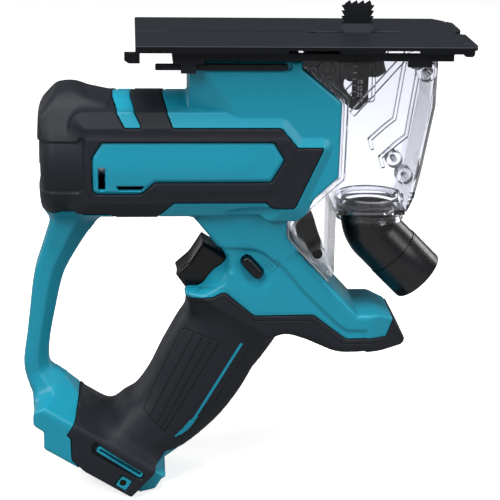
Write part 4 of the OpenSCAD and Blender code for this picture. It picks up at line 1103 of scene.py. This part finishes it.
def swept(stations, around):
    """Closed tube from stations (distance, radius) out along one skin and back along the other."""
    points = []
    faces = []
    for s, r in stations:
        (cx, cz), (dx, dz) = nozzle_line(s)
        for t in np.arange(around) * 2 * math.pi / around:
            points.append((cx - dz * r * math.cos(t), r * math.sin(t), cz + dx * r * math.cos(t)))
    for i in range(len(stations)):
        a = i * around
        b = (i + 1) % len(stations) * around
        for k in range(around):
            n = (k + 1) % around
            faces.append((a + k, b + k, b + n, a + n))
    return np.array(points), faces


print("centre line of the nozzle: neck", NECK, "mm, bend", round(ARC, 1), "mm")

# %% Nozzle and its seal
RUN = 30
SPIGOT_R = 13.6
SEAL_GROOVE = SPIGOT_R - 0.9
UPPER_R = NOZZLE_R - 0.3
STEP_R = NOZZLE_R - 0.55
BORE_R = 11.7
BEND_STEPS = 16
TOP = 5
END = NECK + ARC + RUN
STEP = NECK + ARC + 0.36 * RUN
bend_at = [NECK + ARC * i / BEND_STEPS for i in range(BEND_STEPS + 1)]
spigot = [
    (TOP, 12.6), (TOP, 13.2), (TOP + 0.4, SPIGOT_R), (TOP + 1, SPIGOT_R), (TOP + 1.1, SEAL_GROOVE),
    (TOP + 3, SEAL_GROOVE), (TOP + 3.1, SPIGOT_R), (NECK - 0.2, SPIGOT_R)]
parting = [(STEP - 0.25, UPPER_R), (STEP - 0.2, STEP_R), (STEP + 0.1, STEP_R), (STEP + 0.2, NOZZLE_R)]
mouth = [
    (END - 0.9, NOZZLE_R), (END - 0.3, NOZZLE_R - 0.25), (END, NOZZLE_R - 0.8), (END, 12.5), (END - 0.4, 12)]
skin = spigot + [(s, UPPER_R) for s in bend_at] + parting + mouth
bore = [(s, BORE_R) for s in reversed(bend_at)] + [(TOP + 0.5, BORE_R)]
points, faces = swept(skin + bore, 96)
piece("elbow_nozzle", points, faces, satin, "nozzle", ["dust_nozzle"], 30)
seal = [
    (TOP + 1.2, 12.8), (TOP + 1.2, 13.7), (TOP + 1.6, 13.95), (TOP + 2.5, 13.95), (TOP + 2.9, 13.7),
    (TOP + 2.9, 12.8)]
points, faces = swept(seal, 72)
piece("seal_ring", points, faces, dark, "nozzle", ["nozzle_seal"])

# %% [markdown]
# ## Controls
# The trigger, the lock-off button and the cover's latch are small glossy mouldings. Their edges are
# rounded, because fingers touch them, and the rounding is what catches the light. The trigger has a shallow
# dish for the finger and a pocket at its back, into which its spring goes when it is pulled.

# %% Trigger and button
SMALL = 0.4
TRIGGER_W = 9.4
DISH_CURVE = 0.00875
POCKET_R = 4.2
POCKET_AT = (9, -13)
BUTTON_R = 2.6
BUTTON_Y = (-23, 19.5)
pull = Slope(-72.8, -101, -34)
trigger_area = area(outline([
    pull.point(0, 0), pull.point(19, 0), pull.point(19, -25.4), (-79.6, -127.2, 2), (-86.4, -117.6, 1.4),
    (-79, -111, 14)], 8))


def moulded(name, form, low, high, finish, body, node):
    """Whole small piece from a distance function."""
    points, faces = surface(form, low, high, SMALL, False)
    piece(name, points, faces, finish, body, [node])


def trigger_form(x, w, z):
    w = np.abs(w)
    dish = DISH_CURVE * (TRIGGER_W ** 2 - np.minimum(w, TRIGGER_W) ** 2)
    f = edged(trigger_area(x, z) + dish * fade(-x, 66, 74), w - TRIGGER_W, 2)
    u, v = pull.local(x, z)
    pocket = np.maximum(np.hypot(v - POCKET_AT[1], w) - POCKET_R, POCKET_AT[0] - u)
    return np.maximum(f, -pocket)


def button_form(x, y, z):
    middle = sum(BUTTON_Y) / 2
    return edged(button_distance(x, z) - BUTTON_R, np.abs(y - middle) - (BUTTON_Y[1] - middle), 1.7)


moulded("trigger_cap", trigger_form, (-88, -10, -135), (-54, 10, -99),
        gloss, "trigger", "trigger")
moulded("button_cap", button_form, (-56, -24, -118), (-42, 21, -103),
        gloss, "lock_button", "lock_button")

# %% Latch and its pin
LATCH_W = 9
LATCH_EYE = 3.8
LATCH_BORE = 2.6
PIN_R = 2.5
PIN_W = 22.3
THUMB_AT = (-23, -94)
THUMB_R = 2.6
THUMB_FLOOR = 8.4
latch_area = area(outline([
    (-27.6, -89, 2), (-19, -88.2, 1), (-16.4, -97), (-14.6, -102), (-21.4, -103.6), (-26.6, -99, 2)]))


def latch_form(x, y, z):
    """Lever with an eye for its pin and a round groove for the thumb."""
    w = np.abs(y)
    from_pin = latch_distance(x, z)
    lever = edged(latch_area(x, z), w - LATCH_W, 0.9)
    f = smooth_min(lever, edged(from_pin - LATCH_EYE, w - LATCH_W, 0.6), 1)
    ring = np.abs(np.hypot(x - THUMB_AT[0], z - THUMB_AT[1]) - THUMB_R) - 0.35
    thumb = np.maximum(ring, THUMB_FLOOR - w)
    return np.maximum(np.maximum(f, LATCH_BORE - from_pin), -thumb)


def pin_form(x, y, z):
    return edged(latch_distance(x, z) - PIN_R, np.abs(y) - PIN_W, 0.6)


moulded("latch_lever", latch_form, (-29, -10, -109), (-13, 10, -87),
        gloss, "cover_latch", "cover_latch")
moulded("latch_rod", pin_form, (-21.5, -23, -107), (-14.5, 23, -100),
        gloss, "dust_cover", "latch_pin")

# %% Teal rim of the hook slot
SLOT_RIM_HALF = 0.55
SLOT_RIM_W = 26.6
SLOT_RIM_DEEP = 1.9


def slot_rim_form(x, w, z):
    ring = np.abs(slot_area(x, z) + 0.1) - SLOT_RIM_HALF
    return edged(ring, np.abs(np.abs(w) - SLOT_RIM_W) - SLOT_RIM_DEEP, 0.2)


points, faces = surface(slot_rim_form, (-126, 24, -219), (-101, 29, -200), SMALL)
both_sides("slot_rim", points, faces, teal, "housing")

# %% [markdown]
# ## Base and blade
# The base is cut and bent from sheet steel and painted black. The CAD already has its true shape, so a copy
# of each CAD mesh is merged, its flat faces are joined, and its sharp edges get the small bevel that paint
# and deburring leave. Without that bevel no edge would catch the light.

# %% Softened copies of CAD nodes
SOFT_CRISP = 20
BEVEL_STEPS = 2


def softened(node, name, finish, body, bevel):
    """Copy of a CAD mesh with joined corners, whole flat faces and bevelled edges."""
    bm = bmesh.new()
    bm.from_mesh(frame["nodes"][node].data)
    bmesh.ops.remove_doubles(bm, verts=bm.verts, dist=0.02 * MM)
    bmesh.ops.dissolve_limit(bm, angle_limit=math.radians(1), verts=bm.verts, edges=bm.edges)
    inner = [e for e in bm.edges if len(e.link_faces) == 2]
    sharp = [e for e in inner if e.calc_face_angle(0) > math.radians(CRISP)]
    bmesh.ops.bevel(
        bm, geom=sharp, offset=bevel * MM, segments=BEVEL_STEPS, affect="EDGES", clamp_overlap=True)
    bmesh.ops.triangulate(bm, faces=[f for f in bm.faces if len(f.verts) > 4])
    adopt(name, from_bmesh(name, bm), finish, body, [node], SOFT_CRISP)


softened("base_plate", "plate", plate_paint, "base", 0.3)
softened("base_bracket", "bracket", steel_black, "base", 0.3)
softened("blade", "blade_steel", blade_steel, "plunger", 0.08)
softened("blade_holder", "holder", satin, "plunger", 0.4)
softened("clamp_plate", "clamp", satin, "plunger", 0.3)
softened("depth_scale", "scale_strip", dark, "housing", 0.1)

# %% [markdown]
# ## Depth lock and scale carrier
# A sliding bar on each side of the case locks the depth; a strip behind the case joins the two. The carrier
# holds the depth scale beside the blade, and has an aperture and a screw boss. Both are flat parts, so each
# is an outline with a thickness.

# %% Bar of the depth lock
LOCK_IN = 26
LOCK_OUT = 28.8
LOCK_MIDDLE = (LOCK_IN + LOCK_OUT) / 2
STRIP_AT = (-84.6, -11.6)
STRIP_HALF = (3, 1.4)
LOCK_EDGE = 0.35
lock_area = area(outline([(-96, -13, 0.6), (-96, -10.2, 0.6), (-35, -10.2, 1.2), (-35, -13, 1.2)]))


def lock_form(x, w, z):
    """Two bars along the case, joined by a strip behind it."""
    w = np.abs(w)
    bars = edged(lock_area(x, z), np.abs(w - LOCK_MIDDLE) - (LOCK_OUT - LOCK_MIDDLE), LOCK_EDGE)
    strip = np.maximum(np.abs(x - STRIP_AT[0]) - STRIP_HALF[0], w - LOCK_IN - 0.5)
    return np.minimum(bars, edged(strip, np.abs(z - STRIP_AT[1]) - STRIP_HALF[1], LOCK_EDGE))


moulded("lock_bar", lock_form, (-97, -30, -14), (-34, 30, -9),
        steel_black, "depth_lock", "depth_lock")

# %% Carrier of the depth scale, with an aperture beside the scale
CARRIER_Y = -13
CARRIER_HALF = 1
BOSS_AT = (-16.3, -15)
BOSS_R = 3.1
carrier_area = area(outline([
    (-28.1, -13.1), (-28.1, -10.4), (11, -10.4, 1), (12.6, -16.4, 1), (9, -18.7, 1), (4.2, -18.8),
    (4.2, -29.6, 0.6), (0, -34.4, 2), (-3.6, -34.1, 1), (-9, -29)]))
aperture = area(outline([(-7.4, -19.4, 2), (-3.3, -19.2), (-3.3, -28.2), (-5.4, -26), (-7.4, -23.4, 1)]))


def carrier_form(x, y, z):
    flat = np.maximum(carrier_area(x, z), -aperture(x, z))
    f = edged(flat, np.abs(y - CARRIER_Y) - CARRIER_HALF, 0.25)
    boss = np.hypot(x - BOSS_AT[0], z - BOSS_AT[1])
    ring = edged(np.abs(boss - BOSS_R) - 1.1, np.abs(y + 16) - 2, 0.3)
    core = edged(boss - 3, np.abs(y + 15) - 1.6, 0.3)
    return np.minimum(f, np.minimum(ring, core))


moulded("scale_carrier", carrier_form, (-28.5, -18.2, -35), (13, -11.5, -10),
        satin, "housing", "scale_plate")

# %% [markdown]
# ## What repeats
# Ticks and screws are made with Geometry Nodes. One tree sets a small shape on each point of a mesh,
# realizes the instances and sets the material; the points say where. The result is made a plain mesh.

# %% Geometry Nodes tool
def repeat_tree(name):
    """Tree with the inputs Shape and Finish, which sets the shape on each point."""
    tree = bpy.data.node_groups.new(name, "GeometryNodeTree")
    tree.interface.new_socket("Geometry", in_out="INPUT", socket_type="NodeSocketGeometry")
    tree.interface.new_socket("Shape", in_out="INPUT", socket_type="NodeSocketObject")
    tree.interface.new_socket("Finish", in_out="INPUT", socket_type="NodeSocketMaterial")
    tree.interface.new_socket("Geometry", in_out="OUTPUT", socket_type="NodeSocketGeometry")
    start = tree.nodes.new("NodeGroupInput").outputs
    end = tree.nodes.new("NodeGroupOutput").inputs
    shape = tree.nodes.new("GeometryNodeObjectInfo")
    copies = tree.nodes.new("GeometryNodeInstanceOnPoints")
    real = tree.nodes.new("GeometryNodeRealizeInstances")
    paint = tree.nodes.new("GeometryNodeSetMaterial")
    tree.links.new(start["Geometry"], copies.inputs["Points"])
    tree.links.new(start["Shape"], shape.inputs["Object"])
    tree.links.new(shape.outputs["Geometry"], copies.inputs["Instance"])
    tree.links.new(copies.outputs["Instances"], real.inputs["Geometry"])
    tree.links.new(real.outputs["Geometry"], paint.inputs["Geometry"])
    tree.links.new(start["Finish"], paint.inputs["Material"])
    tree.links.new(paint.outputs["Geometry"], end["Geometry"])
    return tree


def placed(name, data):
    """Object with that data in the scene."""
    obj = bpy.data.objects.new(name, data)
    bpy.context.scene.collection.objects.link(obj)
    return obj


def plain(obj):
    """Plain mesh of an object as its modifiers or its curve make it."""
    return bpy.data.meshes.new_from_object(obj.evaluated_get(bpy.context.evaluated_depsgraph_get()))


def repeated(name, shape, places, finish, body, nodes=()):
    """Copies of shape, a mesh in metres, at places in millimetres."""
    carrier = placed(name + "_shape", shape)
    points = bpy.data.meshes.new(name + "_points")
    points.from_pydata((np.array(places) * MM).tolist(), [], [])
    holder = placed(name + "_points", points)
    modifier = holder.modifiers.new(name, "NODES")
    modifier.node_group = repeat_tree(name)
    sockets = modifier.node_group.interface.items_tree
    inputs = {s.name: s.identifier for s in sockets if s.in_out == "INPUT"}
    modifier[inputs["Shape"]] = carrier
    modifier[inputs["Finish"]] = finish.material
    holder.update_tag()
    mesh = plain(holder)
    holder.modifiers.clear()
    bpy.data.objects.remove(holder)
    bpy.data.objects.remove(carrier)
    adopt(name, mesh, finish, body, nodes)


print("a tree repeats one shape with the inputs Shape and Finish")

# %% [markdown]
# ## Screws and inserts
# The halves of the housing are screwed together from the far side. Each head sits in a well drawn as a dark
# disc of painted shade, and its drive is a conical dip, because at this size a cross can't be told from it.
# The inserts' ends are dark discs too, painted shade in their holes. A turned part is a profile of radius
# and height that is spun about the screw's axis.

# %% Turned shapes
def lathe(profile, around, dip=0):
    """Mesh in metres turned about Y from (radius, y) rows; dip sinks a cone into the last face."""
    bm = bmesh.new()
    angles = np.arange(around) * 2 * math.pi / around
    rows = []
    for r, y in profile:
        rows.append([bm.verts.new(Vector((r * math.cos(t), y, r * math.sin(t))) * MM) for t in angles])
    after = [(k + 1) % around for k in range(around)]
    for a, b in zip(rows, rows[1:]):
        for k, n in enumerate(after):
            bm.faces.new((a[k], b[k], b[n], a[n]))
    bm.faces.new(rows[0][::-1])
    if dip:
        centre = bm.verts.new((0, (profile[-1][1] - dip) * MM, 0))
        for k, n in enumerate(after):
            bm.faces.new((rows[-1][k], centre, rows[-1][n]))
    else:
        bm.faces.new(rows[-1])
    bmesh.ops.recalc_face_normals(bm, faces=bm.faces)
    return from_bmesh("turned", bm)


SCREWS = [
    (-74, -13), (-74, -84), (-40, -96), (-12, -143), (-142, -93.5), (-64, -140), (-92, -193), (-141, -190)]
WELL = [(4.2, -2), (4.2, 0.3), (3.9, 0.45)]
HEAD = [(3.3, -2), (3.3, 0.5), (2.9, 0.8), (1.7, 0.8)]
HEAD_DIP = 1.2
INSERT = [(1.7, -3.6), (1.7, 3.6)]
INSERT_Y = 24.6


def skin_at(x, z):
    """Half width of the body's skin at a place in the side view."""
    w = np.linspace(34, 2, 321)
    depth = body_form(np.full(w.shape, float(x)), w, np.full(w.shape, float(z)))
    return w[np.argmax(depth < 0)]


heads_at = [(x, skin_at(x, z), z) for x, z in SCREWS]
# The wells are dark discs around the heads: painted shade of their recesses.
repeated("screw_wells", lathe(WELL, 40), heads_at, dark, "housing")
repeated("screw_heads", lathe(HEAD, 40, HEAD_DIP), heads_at,
         bright, "housing", ["housing_screws"])
# The inserts' ends are dark discs in the holes of the shell: painted shade of the holes.
inserts_at = [(SCREW_HOLE[0], y, SCREW_HOLE[2]) for y in (-INSERT_Y, INSERT_Y)]
repeated("insert_ends", lathe(INSERT, 24), inserts_at, dark, "housing", ["hook_inserts"])

# %% [markdown]
# ## Depth scale
# The scale is printed in white: short ticks, and a number beside some of them. The print is thinner than
# paper, so the ticks are flat blocks and the numbers are text with a little thickness, made a mesh before
# it is placed.

# %% Ticks and numbers of the depth scale
SCALE_FACE = -14.8
FIRST_TICK = -13.5
TICK_STEP = 3
TICK_X = -2.4
TICK_SIZE = (1.5, 0.06, 0.3)
NUMBER_X = -1.3
NUMBER_H = 2.9
NUMBER_DROP = 2.4
NUMBER_THICK = 0.03
NUMBERS = {2: "19", 3: "22", 4: "25"}


def block(size):
    """Box in metres with that size in millimetres, about its middle."""
    bm = bmesh.new()
    bmesh.ops.create_cube(bm, size=1)
    bmesh.ops.scale(bm, vec=[v * MM for v in size], verts=bm.verts)
    return from_bmesh("block", bm)


def number(text, z):
    """Number on the scale's face, with its foot at z."""
    curve = bpy.data.curves.new("number_" + text, "FONT")
    curve.body = text
    curve.size = NUMBER_H * MM
    curve.extrude = NUMBER_THICK * MM
    obj = placed("number", curve)
    mesh = plain(obj)
    bpy.data.objects.remove(obj)
    mesh.transform(Matrix.Rotation(math.pi / 2, 4, "X"))
    mesh.transform(Matrix.Translation(Vector((NUMBER_X, SCALE_FACE - 0.02, z)) * MM))
    adopt("number_" + text, mesh, white_ink, "housing")


ticks = [(TICK_X, SCALE_FACE, FIRST_TICK - TICK_STEP * i) for i in range(6)]
repeated("scale_ticks", block(TICK_SIZE), ticks, white_ink, "housing")
for i, text in NUMBERS.items():
    number(text, ticks[i][2] - NUMBER_DROP)

# %% [markdown]
# ## Nodes that keep their CAD shape
# Motor, gears, switch and the other inner parts are plain turned or cut parts, and the CAD shows them well
# enough. They only get the finish of their material.

# %% Finishes for the other nodes
FINISH_OF = {
    "housing_plastic": teal, "soft_rubber": rubber, "black_plastic": black, "black_steel": steel_black,
    "bright_steel": bright, "ferrite": ferrite, "copper": copper, "bronze": bronze, "clear_plastic": clear}
for part in frame["record"]["subparts"]:
    node = frame["nodes"][part["node"]]
    node.data.materials.clear()
    node.data.materials.append(FINISH_OF[part["material_slot"]].material)
print("CAD nodes finished:", len(frame["nodes"]))

# %% [markdown]
# ## Studio
# A white floor, five soft lights and a pale world. The camera sees the floor and the world brighter than
# the other light does, so that the background is white and the tool is lit plainly; the floor keeps the
# tool's shadow.

# %% Floor and world
FLOOR_GAP = 0.5 * MM
FLOOR_HALF = 6
FLOOR_SEEN = (0.9, 0.9, 0.9)
FLOOR_UNSEEN = (0.3, 0.3, 0.3)
FLOOR_GLOW = (0.58, 0.58, 0.58)
NO_GLOW = (0, 0, 0)
WORLD_UNSEEN = 0.14
WORLD_SEEN = 0.98


def sight(start):
    """1 for what the camera sees directly or straight through clear plastic, 0 for other light."""
    direct = start.node("ShaderNodeLightPath")
    path = {s.name: Wire(start.tree, s) for s in direct.socket.node.outputs}
    straight = (path["Glossy Depth"] + path["Diffuse Depth"]).math("LESS_THAN", 0.5)
    return direct.highest(path["Is Transmission Ray"] * straight)


floor_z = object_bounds()[0][2] - FLOOR_GAP
corners = [(x * FLOOR_HALF, y * FLOOR_HALF, floor_z) for x, y in ((-1, -1), (1, -1), (1, 1), (-1, 1))]
mesh = bpy.data.meshes.new("floor")
mesh.from_pydata(corners, [], [(0, 1, 2, 3)])
floor = placed("floor", mesh)
ground = Finish("floor_white", FLOOR_SEEN, 0.9)
seen = sight(ground.start)
ground.set("Base Color", ground.mix(seen, FLOOR_UNSEEN, FLOOR_SEEN))
ground.set("Emission Color", ground.mix(seen, NO_GLOW, FLOOR_GLOW))
ground.set("Emission Strength", 1.0)
mesh.materials.append(ground.material)
world = bpy.data.worlds.new("studio")
bpy.context.scene.world = world
world.use_nodes = True
glow = sight(Wire(world.node_tree, None)) * (WORLD_SEEN - WORLD_UNSEEN) + WORLD_UNSEEN
world.node_tree.links.new(glow.socket, world.node_tree.nodes["Background"].inputs["Color"])
print("floor at", round(floor_z / MM, 1), "mm")

# %% Lights
MIDDLE = Vector((-0.06, 0, -0.1))
LIGHTS = [
    ("key", (-0.8, -0.8, 0.75), 0.7, 14),
    ("fill", (0.9, -0.8, 0.6), 0.8, 9),
    ("top", (-0.08, -0.35, 1.15), 0.6, 18),
    ("back_left", (-1.2, 0.75, 0.25), 0.6, 5),
    ("back_right", (1.2, 0.75, 0.25), 0.6, 5)]
for name, at, size, power in LIGHTS:
    lamp = bpy.data.lights.new(name, "AREA")
    lamp.shape = "DISK"
    lamp.size = size
    lamp.energy = power
    obj = placed(name, lamp)
    obj.location = at
    obj.rotation_euler = (MIDDLE - Vector(at)).to_track_quat("-Z", "Y").to_euler()
print("lights:", len(LIGHTS))

# %% [markdown]
# ## Camera
# The camera is that of the photograph: a long lens, a little above the tool, turned and rolled a little. It
# could be aimed at the tool with a constraint; here its axes are worked out from three angles, so that each
# is plain.

# %% Camera of the photograph
SENSOR = 36
PHOTO_WIDTH = 500
FOCAL_PIXELS = 1560
CAMERA_AT = Vector((-107.3, -729.4, 130.5))
DOWN = math.radians(18.094)
ASIDE = math.radians(4.581)
ROLL = math.radians(1.1)
lens = bpy.data.cameras.new("camera")
lens.sensor_width = SENSOR
lens.lens = SENSOR * FOCAL_PIXELS / PHOTO_WIDTH
camera = placed("camera", lens)
bpy.context.scene.camera = camera
ahead = Vector((math.sin(ASIDE) * math.cos(DOWN), math.cos(ASIDE) * math.cos(DOWN), -math.sin(DOWN)))
level = Vector((math.cos(ASIDE), -math.sin(ASIDE), 0))
upright = level.cross(ahead)
right = level * math.cos(ROLL) + upright * math.sin(ROLL)
up = upright * math.cos(ROLL) - level * math.sin(ROLL)
turn = Matrix((right, up, -ahead)).transposed()
camera.matrix_world = Matrix.Translation(CAMERA_AT * MM) @ turn.to_4x4()
bpy.context.scene.view_settings.view_transform = "Standard"
print("lens", round(lens.lens, 1), "mm")
